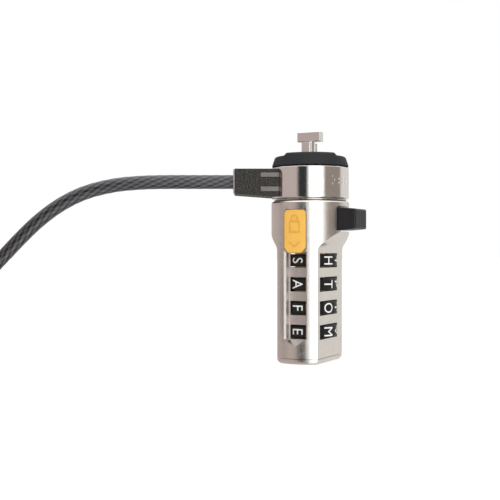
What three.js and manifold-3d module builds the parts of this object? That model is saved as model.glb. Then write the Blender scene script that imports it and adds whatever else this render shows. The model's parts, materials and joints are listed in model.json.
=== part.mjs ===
// A laptop cable lock: four letter dials in a die-cast body, a thumb lever that turns a T-bar, and a steel
// cable on a swivel collar. Millimetres, +Z up along the lock's axis, origin at the centre of the base, the cable
// arm along -X and the reading side towards -Y.
import * as THREE from "three";
import { mergeVertices } from "three/addons/utils/BufferGeometryUtils.js";
import Module from "manifold-3d";

const wasm = await Module();
wasm.setup();

// ---- driving dimensions -------------------------------------------------------------------------------------
const GAP = 0.3; // clearance between neighbouring pieces
const SMALL_GAP = 0.2; // clearance round thin pins and the swivel washer

const BODY_R = 11; // radius of the lock body
const BODY_TURN = -26.6; // the body's own front, turned about +Z from -Y, in degrees
const END_CAP_T = 1.5;
const END_CAP_EDGE = 1.4; // rounding of the end cap's lower edge
const BASE_ZONE = 5.0; // solid foot of the housing below the lowest dial slot
const DIALS = 4;
const DIAL_PITCH = 6.6;
const SLOT_H = 4.0; // height of a dial slot
const COLUMN_T = 3.4; // front and back columns outside the dial slots
const DIAL_PROUD = 1.35; // how far a dial stands out of the two flats
const DIAL_CHAMFER = 0.35;
const BACK_LEAD = 0.6; // room behind a dial where it comes out of a flat
const FLAT_ABOVE = 1.6; // from the highest dial slot to the foot of the flats' run-out
const RAMP_FILLET = 2.5; // blend between a flat and its run-out
const NECK_ZONE = 6.1; // housing between the highest dial slot and the rotor chamber
const LEVER_SLOT_H = 6.8;
const TOP_RIM_H = 1.7; // housing rim above the lever slot
const SHELL_T = 1.8; // wall round the rotor chamber
const BODY_TOP_EDGE = 0.7;

const CHANNEL_W = 5.9; // front reading channel
const CHANNEL_SKIN = 0.3; // metal left between the channel and the dial slots
const CHANNEL_LEAD = 2.0; // straight channel below the lowest slot, before the V
const CHANNEL_V = 2.1;
const WINDOW_W = 5.3;

const TAB_W = 6.4;
const TAB_H = 11.7;
const TAB_T = 0.9;
const TAB_PROUD = 0.15;
const TAB_TOP_R = 1.0;
const TAB_FOOT = 1.3;

const HUB_R = 4.3;
const HUB_KEY_W = 1.2;
const HUB_KEY_H = 0.6;
const SPINDLE_R = 1.6;
const FIN_REACH = 2.8;
const FIN_W = 1.0;
const FIN_H = 0.9;
const CODE_TRAVEL = 1.2; // how far the spindle is pushed down as the lever turns
const SPINDLE_FOOT = 3.0;
const FOOT_COLLAR_H = 0.45;
const SPRING_WIRE = 0.5;
const SPRING_TURNS = 3;
const DETENT_W = 3.0;
const DETENT_T = 0.4;
const DETENT_BUMP = 0.6;
const DETENT_OVER = 0.6; // the leaf ends this far above the highest dial slot
const CHANGE_SCREW_R = 1.6;
const CHANGE_SHANK_R = 1.0;
const CHANGE_SINK = 0.15; // head below the base
const CHANGE_SLOT_W = 0.6;
const CHANGE_SLOT_D = 0.55;
const CHANGE_SCREW_Y = -6.4; // off-centre, in the front of the base
const BASE_SCREW_X = 3.6;
const BASE_SCREW_Y = 7.5;
const BASE_SCREW_R = 0.8;
const BASE_SCREW_HEAD_R = 1.25;
const BASE_SCREW_L = 4.6;
const BASE_SCREW_SINK = 0.1;
const SCREW_SLOT_W = 0.4;
const SCREW_SLOT_D = 0.25;

const LEVER_W = 8.8;
const LEVER_REACH = 4.4; // how far the lever stands out of the body
const LEVER_TIP_H = 5.6;
const LEVER_EDGE = 0.7;
const TENON_W = 4.2;
const TENON_H = 3.3;
const TENON_IN = 4.8; // depth of the lever's tenon in the rotor
const LEVER_PIN_R = 0.6;
const STEM_R = 1.3; // T-bar shaft
const STEM_PIN_R = 0.4;
const STEM_PIN_HALF = 3.6; // half of the cross pin's length
const STEM_IN = 1.6; // the shaft's foot above the rotor's lower face
const T_HEAD_L = 6.9;
const T_HEAD_W = 2.8;
const T_HEAD_H = 2.8;
const T_HEAD_EDGE = 0.35;
const NOSE_STAND = 3.65; // free shaft between the bumper and the T-bar head
const GUARD_W = 2.6;
const GUARD_FRONT = 3.4; // how far the front guard pin reaches from the axis
const GUARD_REAR = 3.1;
const GUARD_FRONT_R = 0.3; // its corners; the rear pin's end is a half round
const GUARD_SEAT = 3.7; // depth of a guard pin in the core

const NECK_R = 6.9;
const FLANGE_H = 1.6;
const WASHER_T = 0.3;
const RING_H = 8.8;
const RING_INSET = 0.1; // the collar is this much smaller than the body
const RING_EDGE = 0.35;
const PLATE_T = 1.4;
const PLATE_R = 9.3;
const PLATE_SCREW_X = 5.0;
const PLATE_SCREW_R = 0.6;
const PLATE_SCREW_HEAD_R = 1.2;
const PLATE_SCREW_HEAD_H = 0.5;
const PLATE_SCREW_IN = 3.5; // depth of a plate screw in the core
const PLATE_SCREW_SINK = 0.1; // head below the plate's face
const BUMPER_H = 3.45;
const BUMPER_INSET = 0.2;
const BUMPER_SHOULDER = 2.8; // height of the shoulder beside the raised band
const BUMPER_FLARE = 0.6;
const BUMPER_EDGE = 0.8;
const BUMPER_LIP = 0.3; // straight foot of the bumper
const BAND_TOP_W = 13.0;
const BAND_FOOT_W = 14.8;
const BAND_TURN = -3.5;
const BAND_PROUD = 0.2;
const BAND_SINK = 0.3; // how far below the shoulder the band's slanted sides start
const BAND_LEAN = 0.75; // the band leans in by this share of the skirt's flare

const CABLE_D = 4.0;
const ARM_REACH = 10.9; // the arm's length outside the collar
const ARM_DROP = 0.55; // the arm's top below the collar's top
const ARM_FOOT = 0.5; // the arm's underside above the collar's lower face, at the collar
const ARM_TAPER = 0.8; // how much the underside rises towards the tip
const ARM_W = 12;
const ARM_EDGE = 0.5;
const ARM_BORE_L = 7.6;
const ARM_RISE = 0.5; // the cable's axis above the middle of the collar
const CABLE_SEAT = 3.0; // length of cable inside the arm
const ANCHOR_L = 4.0;
const ANCHOR_PIN_R = 0.7;

const COIL_X = -128;
const COIL_Y = -18;
const COIL_IN_R = 17.6; // the empty middle of the coil
const COIL_LIFT = 1.1; // the coil lies on its ties
const COIL_ROWS = 3;
const COIL_LAYERS = 4;
const TIE_T = 0.8;
const TIE_W = 6.0;
const TIE_ANGLES = [15, 195];
const SLEEVE_L = 12;
const SLEEVE_WALL = 0.5;

// ---- levels and radii that follow ---------------------------------------------------------------------------
const HOUSING_Z0 = END_CAP_T + GAP;
// The height of a dial's middle; dial 0 is the highest.
const dialZ = (i) => HOUSING_Z0 + BASE_ZONE + SLOT_H / 2 + (DIALS - 1 - i) * DIAL_PITCH;
const TOP_SLOT_Z1 = dialZ(0) + SLOT_H / 2;
const DIAL_R = BODY_R - COLUMN_T - GAP / 2;
const DIAL_T = SLOT_H - 2 * GAP;
const SLOT_Y = BODY_R - COLUMN_T; // half-width of the dial slots
const FLAT_X = DIAL_R - DIAL_PROUD;
const SLOT_BACK_Y = Math.sqrt(SLOT_Y ** 2 - FLAT_X ** 2) + BACK_LEAD;
const HUB_BORE_R = HUB_R + GAP;
const CHAMBER_Z0 = TOP_SLOT_Z1 + NECK_ZONE;
const CHAMBER_R = BODY_R - SHELL_T;
const LEVER_SLOT_Z1 = CHAMBER_Z0 + LEVER_SLOT_H;
const BODY_TOP = LEVER_SLOT_Z1 + TOP_RIM_H;
const ROTOR_R = CHAMBER_R - GAP;
const ROTOR_Z0 = CHAMBER_Z0 + GAP;
const FLANGE_Z0 = BODY_TOP - FLANGE_H;
const ROTOR_Z1 = FLANGE_Z0 - GAP;
const RING_R = BODY_R - RING_INSET;
const WASHER_Z0 = BODY_TOP + SMALL_GAP;
const RING_Z0 = WASHER_Z0 + WASHER_T + SMALL_GAP;
const RING_Z1 = RING_Z0 + RING_H;
const PLATE_Z0 = RING_Z1 + GAP;
const PLATE_Z1 = PLATE_Z0 + PLATE_T;
const BUMPER_Z1 = PLATE_Z0 + BUMPER_H;
const HEAD_Z0 = BUMPER_Z1 + NOSE_STAND;
const CHANGE_SHANK_TOP = HOUSING_Z0 + BASE_ZONE - 1.5;
const LEVER_Z = (CHAMBER_Z0 + LEVER_SLOT_Z1) / 2;
const LEVER_TIP = BODY_R + LEVER_REACH;
const CABLE_R = CABLE_D / 2;
const ARM_Z = (RING_Z0 + RING_Z1) / 2 + ARM_RISE;
const ARM_TIP_X = -(RING_R + ARM_REACH);
const BIG = 300; // larger than any cut needs

// ---- making solids ------------------------------------------------------------------------------------------
// A closed geometry as a solid, its shared vertices merged and its faces turned outwards.
function solid(geometry) {
  const bare = new THREE.BufferGeometry();
  bare.setAttribute("position", geometry.getAttribute("position"));
  if (geometry.index) bare.setIndex(geometry.index);
  const merged = mergeVertices(bare, 1e-4);
  const points = merged.attributes.position.array;
  const corners = [];
  for (let i = 0; i < merged.index.count; i += 3) {
    const [a, b, c] = [0, 1, 2].map((k) => merged.index.getX(i + k));
    if (a !== b && b !== c && c !== a) corners.push(a, b, c);
  }
  const build = (tris) =>
    new wasm.Manifold(new wasm.Mesh({ numProp: 3, vertProperties: points, triVerts: new Uint32Array(tris) }));
  const first = build(corners);
  if (first.volume() > 0) return first;
  for (let i = 0; i < corners.length; i += 3) {
    [corners[i + 1], corners[i + 2]] = [corners[i + 2], corners[i + 1]];
  }
  return build(corners);
}

// A turned shape about Z from its [radius, height] points, closed on itself or on the axis.
function turned(points, sides = 40) {
  const onAxis = points[0][0] === 0 && points[points.length - 1][0] === 0;
  const outline = onAxis ? points : [...points, points[0]];
  const profile = outline.map(([r, z]) => new THREE.Vector2(r, z));
  return solid(new THREE.LatheGeometry(profile, sides).rotateX(Math.PI / 2));
}

const rod = (r, z0, z1, sides = 24) => turned([[0, z0], [r, z0], [r, z1], [0, z1]], sides);
const tube = (r0, r1, z0, z1, sides = 40) => turned([[r0, z0], [r1, z0], [r1, z1], [r0, z1]], sides);

// An outline extruded from z0 to z1.
function prism(points, z0, z1) {
  const shape = new THREE.Shape(points.map(([x, y]) => new THREE.Vector2(x, y)));
  const geometry = new THREE.ExtrudeGeometry(shape, { depth: z1 - z0, bevelEnabled: false });
  return solid(geometry.translate(0, 0, z0));
}

// An outline in X and Z, extruded along Y from y0 to y1.
function slab(points, y0, y1) {
  const shape = new THREE.Shape(points.map(([x, z]) => new THREE.Vector2(x, z)));
  const geometry = new THREE.ExtrudeGeometry(shape, { depth: y1 - y0, bevelEnabled: false });
  return solid(geometry.rotateX(Math.PI / 2).translate(0, y1, 0));
}

function box(x0, x1, y0, y1, z0, z1) {
  const geometry = new THREE.BoxGeometry(x1 - x0, y1 - y0, z1 - z0);
  return solid(geometry.translate((x0 + x1) / 2, (y0 + y1) / 2, (z0 + z1) / 2));
}

// Points of an arc about (cx, cy), from one angle to another in degrees.
function arc(cx, cy, r, from, to, steps) {
  return Array.from({ length: steps + 1 }, (_, i) => {
    const a = THREE.MathUtils.degToRad(from + ((to - from) * i) / steps);
    return [cx + r * Math.cos(a), cy + r * Math.sin(a)];
  });
}

// A rectangle with round corners.
function roundedRect(x0, x1, y0, y1, r, steps = 4) {
  return [
    ...arc(x1 - r, y1 - r, r, 0, 90, steps),
    ...arc(x0 + r, y1 - r, r, 90, 180, steps),
    ...arc(x0 + r, y0 + r, r, 180, 270, steps),
    ...arc(x1 - r, y0 + r, r, 270, 360, steps),
  ];
}

// A turned shape whose axis lies along X or Y instead of Z.
const alongX = (made) => made.rotate([0, 90, 0]);
const alongY = (made) => made.rotate([-90, 0, 0]);

// A round wire or cord of radius r that follows a curve.
function wire(points, r, sides, steps) {
  const curve = new THREE.CatmullRomCurve3(points.map((p) => new THREE.Vector3(...p)), false, "centripetal");
  const round = arc(0, 0, r, 0, 360 - 360 / sides, sides - 1);
  const section = new THREE.Shape(round.map((p) => new THREE.Vector2(...p)));
  return solid(new THREE.ExtrudeGeometry(section, { steps, extrudePath: curve, bevelEnabled: false }));
}

// ---- materials ----------------------------------------------------------------------------------------------
const finish = (color, roughness, metalness) => new THREE.MeshStandardMaterial({ color, roughness, metalness });
const nickel = finish(0xc6c0b8, 0.3, 1);
const chrome = finish(0xd8d6d4, 0.08, 1);
const steel = finish(0x9c9890, 0.35, 1);
const springSteel = finish(0x7d7d80, 0.3, 1);
const castMetal = finish(0x5b5650, 0.5, 1);
const brass = finish(0xb08d4a, 0.35, 1);
const rubber = finish(0x303235, 0.8, 0);
const blackPlastic = finish(0x1f2022, 0.45, 0);
const yellowPlastic = finish(0xf0be50, 0.5, 0);
const cableSheath = finish(0x3c3c40, 0.3, 0);
const tieStrap = finish(0x151516, 0.9, 0);

const lock = new THREE.Group();
const body = new THREE.Group(); // the lock body's own frame: flats face +X and -X, the front channel -Y
body.rotation.z = THREE.MathUtils.degToRad(BODY_TURN);
lock.add(body);

function add(group, name, made, material) {
  const out = made.getMesh();
  const geometry = new THREE.BufferGeometry();
  const points = new Float32Array(out.numVert * 3);
  for (let i = 0; i < out.numVert; i++) {
    points.set(out.vertProperties.subarray(i * out.numProp, i * out.numProp + 3), i * 3);
  }
  geometry.setAttribute("position", new THREE.BufferAttribute(points, 3));
  geometry.setIndex(new THREE.BufferAttribute(out.triVerts, 1));
  geometry.computeVertexNormals();
  const mesh = new THREE.Mesh(geometry, material);
  mesh.name = name;
  group.add(mesh);
}

// ---- housing ------------------------------------------------------------------------------------------------
// The outline of a flat and its curved run-out, in X and Z, on the +X side.
function flatCut(z0) {
  const reach = BODY_R + 1;
  const bend = TOP_SLOT_Z1 + FLAT_ABOVE; // where the flat's line and the 45-degree run-out would meet
  const tangent = RAMP_FILLET * Math.tan(Math.PI / 8);
  const blend = arc(FLAT_X + RAMP_FILLET, bend - tangent, RAMP_FILLET, 180, 135, 5);
  return [[FLAT_X, z0], [reach, z0], [reach, bend + reach - FLAT_X], ...blend.reverse()];
}
const mirrorX = (points) => points.map(([x, y]) => [-x, y]).reverse();
const flats = (made, z0) => [flatCut(z0), mirrorX(flatCut(z0))]
  .reduce((rest, outline) => rest.subtract(slab(outline, -BIG, BIG)), made);

const slotZones = Array.from({ length: DIALS }, (_, i) => [dialZ(i) - SLOT_H / 2, dialZ(i) + SLOT_H / 2]);
const CHANNEL_Y = SLOT_Y + CHANNEL_SKIN;
const TAB_Z0 = TOP_SLOT_Z1 + SMALL_GAP;
const CHANNEL_FOOT = slotZones[DIALS - 1][0] - CHANNEL_LEAD + CHANNEL_V;
const CHANNEL_TOP = TAB_Z0 + GAP; // the channel runs in under the tab
const TAB_POCKET_R = BODY_R - TAB_T - GAP;
const DETENT_Y = SLOT_Y + DETENT_BUMP + GAP / 2; // inner face of the leaf
const DETENT_TOP = TOP_SLOT_Z1 + DETENT_OVER;
const HUB_STACK_Z1 = dialZ(0) + DIAL_PITCH / 2;

// The yellow tab's outline in X and Z: round shoulders, cut lower corners.
function tabOutline(grow) {
  const half = TAB_W / 2 + grow;
  const top = TAB_Z0 + TAB_H + grow;
  const foot = TAB_Z0 - grow;
  const r = TAB_TOP_R + grow;
  return [
    [-half + TAB_FOOT, foot],
    [half - TAB_FOOT, foot],
    [half, foot + TAB_FOOT],
    ...arc(half - r, top - r, r, 0, 90, 5),
    ...arc(-half + r, top - r, r, 90, 180, 5),
    [-half, foot + TAB_FOOT],
  ];
}

const grubZ = BODY_TOP - FLANGE_H / 2;
const GRUB_R = 0.45;
const GRUB_IN = 1.2; // depth of the grub screw in the core
const GRUB_SINK = 0.2; // its end below the housing's surface
const grub = (r, from, to) => alongX(rod(r, from, to, 12)).translate([0, 0, grubZ]).rotate([0, 0, 200]);

function housing() {
  let made = turned([
    [0, HOUSING_Z0],
    [BODY_R, HOUSING_Z0],
    ...arc(BODY_R - BODY_TOP_EDGE, BODY_TOP - BODY_TOP_EDGE, BODY_TOP_EDGE, 0, 90, 3),
    [0, BODY_TOP],
  ], 56);
  made = flats(made, -1);
  for (const [z0, z1] of slotZones) {
    made = made.subtract(box(-BIG, BIG, -SLOT_Y, SLOT_BACK_Y, z0, z1));
    made = made.subtract(rod(SLOT_Y, z0, z1, 48));
    made = made.subtract(box(-WINDOW_W / 2, WINDOW_W / 2, -CHANNEL_Y - 1, 0, z0, z1));
  }
  const half = CHANNEL_W / 2;
  const channel = [
    [0, CHANNEL_FOOT - CHANNEL_V],
    [half, CHANNEL_FOOT],
    [half, CHANNEL_TOP],
    [-half, CHANNEL_TOP],
    [-half, CHANNEL_FOOT],
  ];
  made = made.subtract(slab(channel, -BIG, -CHANNEL_Y));
  made = made.subtract(slab(tabOutline(GAP), -BIG, 0).subtract(rod(TAB_POCKET_R, 0, BIG, 56)));
  made = made.subtract(rod(HUB_BORE_R, 0, HUB_STACK_Z1 + GAP, 32));
  made = made.subtract(rod(SPINDLE_R + GAP, 0, BODY_TOP, 24));
  made = made.subtract(rod(CHAMBER_R, CHAMBER_Z0, BODY_TOP + 1, 48));
  const lead = LEVER_W / 2 + GAP;
  made = made.subtract(box(-lead, BIG, -lead, BIG, CHAMBER_Z0, LEVER_SLOT_Z1));
  const detentHalf = DETENT_W / 2 + GAP;
  const detentBack = DETENT_Y + DETENT_T + GAP;
  made = made.subtract(box(-detentHalf, detentHalf, SLOT_Y - 1, detentBack, 0, DETENT_TOP + GAP));
  const changeHole = rod(CHANGE_SHANK_R + GAP, 0, CHANGE_SHANK_TOP + GAP, 20);
  made = made.subtract(changeHole.translate([0, CHANGE_SCREW_Y, 0]));
  for (const side of [-1, 1]) {
    const hole = rod(BASE_SCREW_R + SMALL_GAP, 0, BASE_SCREW_L + GAP, 16);
    made = made.subtract(hole.translate([side * BASE_SCREW_X, side * BASE_SCREW_Y, 0]));
  }
  return made.subtract(grub(GRUB_R + SMALL_GAP, ROTOR_R - 2, BODY_R + 2));
}
add(body, "housing", housing(), nickel);
add(body, "core_grub_screw", grub(GRUB_R, ROTOR_R - GRUB_IN, BODY_R - GRUB_SINK), steel);

// ---- base ---------------------------------------------------------------------------------------------------
const SPIGOT_H = 1.2;
const SPIGOT_WALL = 1.2;
const SPRING_R = HUB_R - SPIGOT_WALL - SPRING_WIRE / 2 - SMALL_GAP; // mean radius, inside the spigot
const JOIN = 0.2; // how far one solid runs into another that it is joined to
const HEAD_SINK = 0.6;
function endCap() {
  let made = turned([
    [0, 0],
    [BODY_R - END_CAP_EDGE, 0],
    ...arc(BODY_R - END_CAP_EDGE, END_CAP_EDGE, END_CAP_EDGE, 270, 360, 3).slice(1),
    [BODY_R, END_CAP_T],
    [0, END_CAP_T],
  ], 56);
  const chamfer = (side) => {
    const x = side * FLAT_X;
    const inner = side * (FLAT_X - END_CAP_EDGE);
    const out = side * BIG;
    return [[inner, -1], [inner, 0], [x, END_CAP_EDGE], [x, BIG], [out, BIG], [out, -1]];
  };
  made = made.subtract(slab(chamfer(1), -BIG, BIG)).subtract(slab(chamfer(-1), -BIG, BIG));
  made = made.add(tube(HUB_R - SPIGOT_WALL, HUB_R, END_CAP_T - JOIN, END_CAP_T + SPIGOT_H, 32));
  made = made.subtract(rod(CHANGE_SCREW_R + GAP, -1, END_CAP_T + 1, 24).translate([0, CHANGE_SCREW_Y, 0]));
  for (const side of [-1, 1]) {
    const hole = rod(BASE_SCREW_R + SMALL_GAP, -1, END_CAP_T + 1, 16)
      .add(rod(BASE_SCREW_HEAD_R + SMALL_GAP, -1, HEAD_SINK, 20));
    made = made.subtract(hole.translate([side * BASE_SCREW_X, side * BASE_SCREW_Y, 0]));
  }
  return made;
}
add(body, "end_cap", endCap(), nickel);

[1, 2].forEach((n) => {
  const side = n === 1 ? 1 : -1;
  const screw = rod(BASE_SCREW_HEAD_R, BASE_SCREW_SINK, HEAD_SINK - SMALL_GAP, 20)
    .add(rod(BASE_SCREW_R, BASE_SCREW_SINK, BASE_SCREW_L, 16))
    .subtract(box(-BIG, BIG, -SCREW_SLOT_W / 2, SCREW_SLOT_W / 2, -1, BASE_SCREW_SINK + SCREW_SLOT_D));
  add(body, "base_screw_" + n, screw.translate([side * BASE_SCREW_X, side * BASE_SCREW_Y, 0]), steel);
});

const changeScrew = rod(CHANGE_SCREW_R, CHANGE_SINK, END_CAP_T, 24)
  .add(rod(CHANGE_SHANK_R, CHANGE_SINK, CHANGE_SHANK_TOP, 20))
  .subtract(box(-BIG, BIG, -CHANGE_SLOT_W / 2, CHANGE_SLOT_W / 2, -1, CHANGE_SINK + CHANGE_SLOT_D));
add(body, "code_change_screw", changeScrew.translate([0, CHANGE_SCREW_Y, 0]), brass);

// ---- reference tab and detent spring ------------------------------------------------------------------------
const tabBand = tube(BODY_R - TAB_T, BODY_R + TAB_PROUD, TAB_Z0 - 1, TAB_Z0 + TAB_H + 1, 56);
add(body, "reference_tab", tabBand.intersect(slab(tabOutline(0), -BIG, 0)), yellowPlastic);

function detentSpring() {
  const foot = HOUSING_Z0 + 0.4;
  const inner = [[DETENT_Y, foot]];
  const outer = [[DETENT_Y + DETENT_T, foot]];
  for (let i = DIALS - 1; i >= 0; i--) {
    const z = dialZ(i);
    for (const [dz, rise] of [[-1.2, 0], [-0.4, 1], [0.4, 1], [1.2, 0]]) {
      inner.push([DETENT_Y - rise * DETENT_BUMP, z + dz]);
      outer.push([DETENT_Y + DETENT_T - rise * DETENT_BUMP, z + dz]);
    }
  }
  inner.push([DETENT_Y, DETENT_TOP]);
  outer.push([DETENT_Y + DETENT_T, DETENT_TOP]);
  return slab([...inner, ...outer.reverse()], -DETENT_W / 2, DETENT_W / 2).rotate([0, 0, 90]);
}
add(body, "detent_spring", detentSpring(), springSteel);

// ---- dials, clutch hubs, code spindle -----------------------------------------------------------------------
const HUB_H = DIAL_PITCH - GAP;
const hubRoom = FIN_H + CODE_TRAVEL + 2 * GAP; // depth of a hub's counterbore, for its fin
for (let i = 0; i < DIALS; i++) {
  const z = dialZ(i);
  const [low, high] = [z - DIAL_T / 2, z + DIAL_T / 2];
  const keyway = HUB_KEY_W / 2 + GAP;
  const dial = turned([
    [HUB_BORE_R, low],
    [DIAL_R - DIAL_CHAMFER, low],
    [DIAL_R, low + DIAL_CHAMFER],
    [DIAL_R, high - DIAL_CHAMFER],
    [DIAL_R - DIAL_CHAMFER, high],
    [HUB_BORE_R, high],
  ], 32).subtract(box(-keyway, keyway, 0, HUB_R + HUB_KEY_H + GAP, low - 1, high + 1));
  add(body, "letter_dial_" + (i + 1), dial, blackPlastic);

  const [foot, head] = [z - HUB_H / 2, z + HUB_H / 2];
  const gate = FIN_W / 2 + GAP;
  const hub = rod(HUB_R, foot, head, 32)
    .add(box(-HUB_KEY_W / 2, HUB_KEY_W / 2, 0, HUB_R + HUB_KEY_H, low, high))
    .subtract(rod(SPINDLE_R + GAP, foot - 1, head + 1, 24))
    .subtract(rod(FIN_REACH + GAP, head - hubRoom, head + 1, 24))
    .subtract(box(0, FIN_REACH + GAP, -gate, gate, foot - 1, head + 1));
  add(body, "clutch_hub_" + (i + 1), hub, brass);
}

const FOOT_COLLAR_Z1 = dialZ(DIALS - 1) - HUB_H / 2 - GAP;
function codeSpindle() {
  let made = rod(SPINDLE_R, SPINDLE_FOOT, ROTOR_Z0 + 0.6, 24);
  made = made.add(rod(FIN_REACH, FOOT_COLLAR_Z1 - FOOT_COLLAR_H, FOOT_COLLAR_Z1, 24));
  for (let i = 0; i < DIALS; i++) {
    const top = dialZ(i) + HUB_H / 2;
    made = made.add(box(0, FIN_REACH, -FIN_W / 2, FIN_W / 2, top - FIN_H, top));
  }
  return made;
}
add(body, "code_spindle", codeSpindle(), steel);

function returnSpring() {
  const low = END_CAP_T + GAP + SPRING_WIRE / 2;
  const high = FOOT_COLLAR_Z1 - FOOT_COLLAR_H - GAP - SPRING_WIRE / 2;
  const perTurn = 12;
  const points = Array.from({ length: SPRING_TURNS * perTurn + 1 }, (_, i) => {
    const a = (i / perTurn) * 2 * Math.PI;
    const z = low + ((high - low) * i) / (SPRING_TURNS * perTurn);
    return [SPRING_R * Math.cos(a), SPRING_R * Math.sin(a), z];
  });
  return wire(points, SPRING_WIRE / 2, 6, SPRING_TURNS * perTurn);
}
add(body, "return_spring", returnSpring(), springSteel);

// ---- rotor, lever and T-bar ---------------------------------------------------------------------------------
const tenonX = CHAMBER_R - TENON_IN;
const leverPinX = (tenonX + ROTOR_R) / 2;
const stemFoot = ROTOR_Z0 + STEM_IN;
const stemPinZ = LEVER_Z;
const stemPin = (r, reach) => alongY(rod(r, -reach, reach, 12)).translate([0, 0, stemPinZ]);

// The lever's tenon, or the room for it in the rotor.
const tenonBox = (x1, grow) => box(
  tenonX - grow,
  x1,
  -TENON_W / 2 - grow,
  TENON_W / 2 + grow,
  LEVER_Z - TENON_H / 2 - grow,
  LEVER_Z + TENON_H / 2 + grow,
);

const rotor = rod(ROTOR_R, ROTOR_Z0, ROTOR_Z1, 48)
  .subtract(rod(STEM_R + GAP, ROTOR_Z0 - 1, ROTOR_Z1 + 1, 24))
  .subtract(rod(FIN_REACH, ROTOR_Z0 - 1, stemFoot - GAP, 24))
  .subtract(tenonBox(BIG, GAP))
  .subtract(rod(LEVER_PIN_R + SMALL_GAP, ROTOR_Z0 - 1, ROTOR_Z1 + 1, 16).translate([leverPinX, 0, 0]))
  .subtract(stemPin(STEM_PIN_R + SMALL_GAP, STEM_PIN_HALF + SMALL_GAP));
add(body, "rotor", rotor, castMetal);

function thumbLever() {
  const rootHalf = (LEVER_SLOT_H - 2 * GAP) / 2;
  const tipHalf = LEVER_TIP_H / 2;
  const profile = [
    [0, -rootHalf],
    [BODY_R, -rootHalf],
    ...arc(LEVER_TIP - LEVER_EDGE, -tipHalf + LEVER_EDGE, LEVER_EDGE, 270, 360, 4),
    ...arc(LEVER_TIP - LEVER_EDGE, tipHalf - LEVER_EDGE, LEVER_EDGE, 0, 90, 4),
    [BODY_R, rootHalf],
    [0, rootHalf],
  ].map(([x, z]) => [x, z + LEVER_Z]);
  const plan = roundedRect(0, LEVER_TIP, -LEVER_W / 2, LEVER_W / 2, LEVER_EDGE);
  const paddle = slab(profile, -BIG, BIG)
    .intersect(prism(plan, 0, BIG))
    .subtract(rod(ROTOR_R + GAP, 0, BIG, 48));
  return paddle.add(tenonBox(CHAMBER_R + 1, 0)).subtract(rod(LEVER_PIN_R + SMALL_GAP, 0, BIG, 16).translate([leverPinX, 0, 0]));
}
add(body, "thumb_lever", thumbLever(), blackPlastic);
add(body, "lever_pin", rod(LEVER_PIN_R, ROTOR_Z0, ROTOR_Z1, 16).translate([leverPinX, 0, 0]), steel);

const headOutline = [
  [-T_HEAD_L / 2 + T_HEAD_EDGE, HEAD_Z0],
  [T_HEAD_L / 2 - T_HEAD_EDGE, HEAD_Z0],
  [T_HEAD_L / 2, HEAD_Z0 + T_HEAD_EDGE],
  [T_HEAD_L / 2, HEAD_Z0 + T_HEAD_H - T_HEAD_EDGE],
  [T_HEAD_L / 2 - T_HEAD_EDGE, HEAD_Z0 + T_HEAD_H],
  [-T_HEAD_L / 2 + T_HEAD_EDGE, HEAD_Z0 + T_HEAD_H],
  [-T_HEAD_L / 2, HEAD_Z0 + T_HEAD_H - T_HEAD_EDGE],
  [-T_HEAD_L / 2, HEAD_Z0 + T_HEAD_EDGE],
];
const tBar = slab(headOutline, -T_HEAD_W / 2, T_HEAD_W / 2)
  .add(rod(STEM_R, stemFoot, HEAD_Z0 + 1, 32))
  .subtract(stemPin(STEM_PIN_R + SMALL_GAP, BIG));
add(body, "t_bar", tBar, nickel);
add(body, "t_bar_pin", stemPin(STEM_PIN_R, STEM_PIN_HALF), steel);

// ---- nose: core, guard pins, retaining plate, bumper ---------------------------------------------------------
// One guard pin's outline in X and Y on the side given: the front one has a square end, the rear a round one.
function guardOutline(side, grow) {
  const half = GUARD_W / 2 + grow;
  const inner = STEM_R + GAP - grow;
  const outer = (side < 0 ? GUARD_FRONT : GUARD_REAR) + grow;
  const r = side < 0 ? GUARD_FRONT_R + grow : half;
  const end = [...arc(half - r, outer - r, r, 0, 90, 4), ...arc(r - half, outer - r, r, 90, 180, 4)];
  return [[half, inner], ...end, [-half, inner]].map(([x, y]) => [x * side, y * side]);
}
const GUARD_Z0 = RING_Z1 - GUARD_SEAT;
const guardSlot = (z0, z1) => prism(guardOutline(1, GAP), z0, z1).add(prism(guardOutline(-1, GAP), z0, z1));
const plateScrewZ0 = RING_Z1 - PLATE_SCREW_IN;

let core = turned([
  [STEM_R + GAP, FLANGE_Z0],
  [CHAMBER_R - GAP, FLANGE_Z0],
  [CHAMBER_R - GAP, BODY_TOP],
  [NECK_R, BODY_TOP],
  [NECK_R, RING_Z1],
  [STEM_R + GAP, RING_Z1],
], 48).subtract(guardSlot(GUARD_Z0 - GAP, BIG));
for (const side of [-1, 1]) {
  const screwHole = rod(PLATE_SCREW_R + SMALL_GAP, plateScrewZ0 - GAP, BIG, 16);
  core = core.subtract(screwHole.translate([side * PLATE_SCREW_X, 0, 0]));
}
add(body, "nose_core", core.subtract(grub(GRUB_R + SMALL_GAP, ROTOR_R - GRUB_IN - GAP, BIG)), nickel);

[["guard_pin_front", -1], ["guard_pin_rear", 1]].forEach(([name, side]) => {
  add(body, name, prism(guardOutline(side, 0), GUARD_Z0, HEAD_Z0 - GAP), nickel);
});

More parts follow.
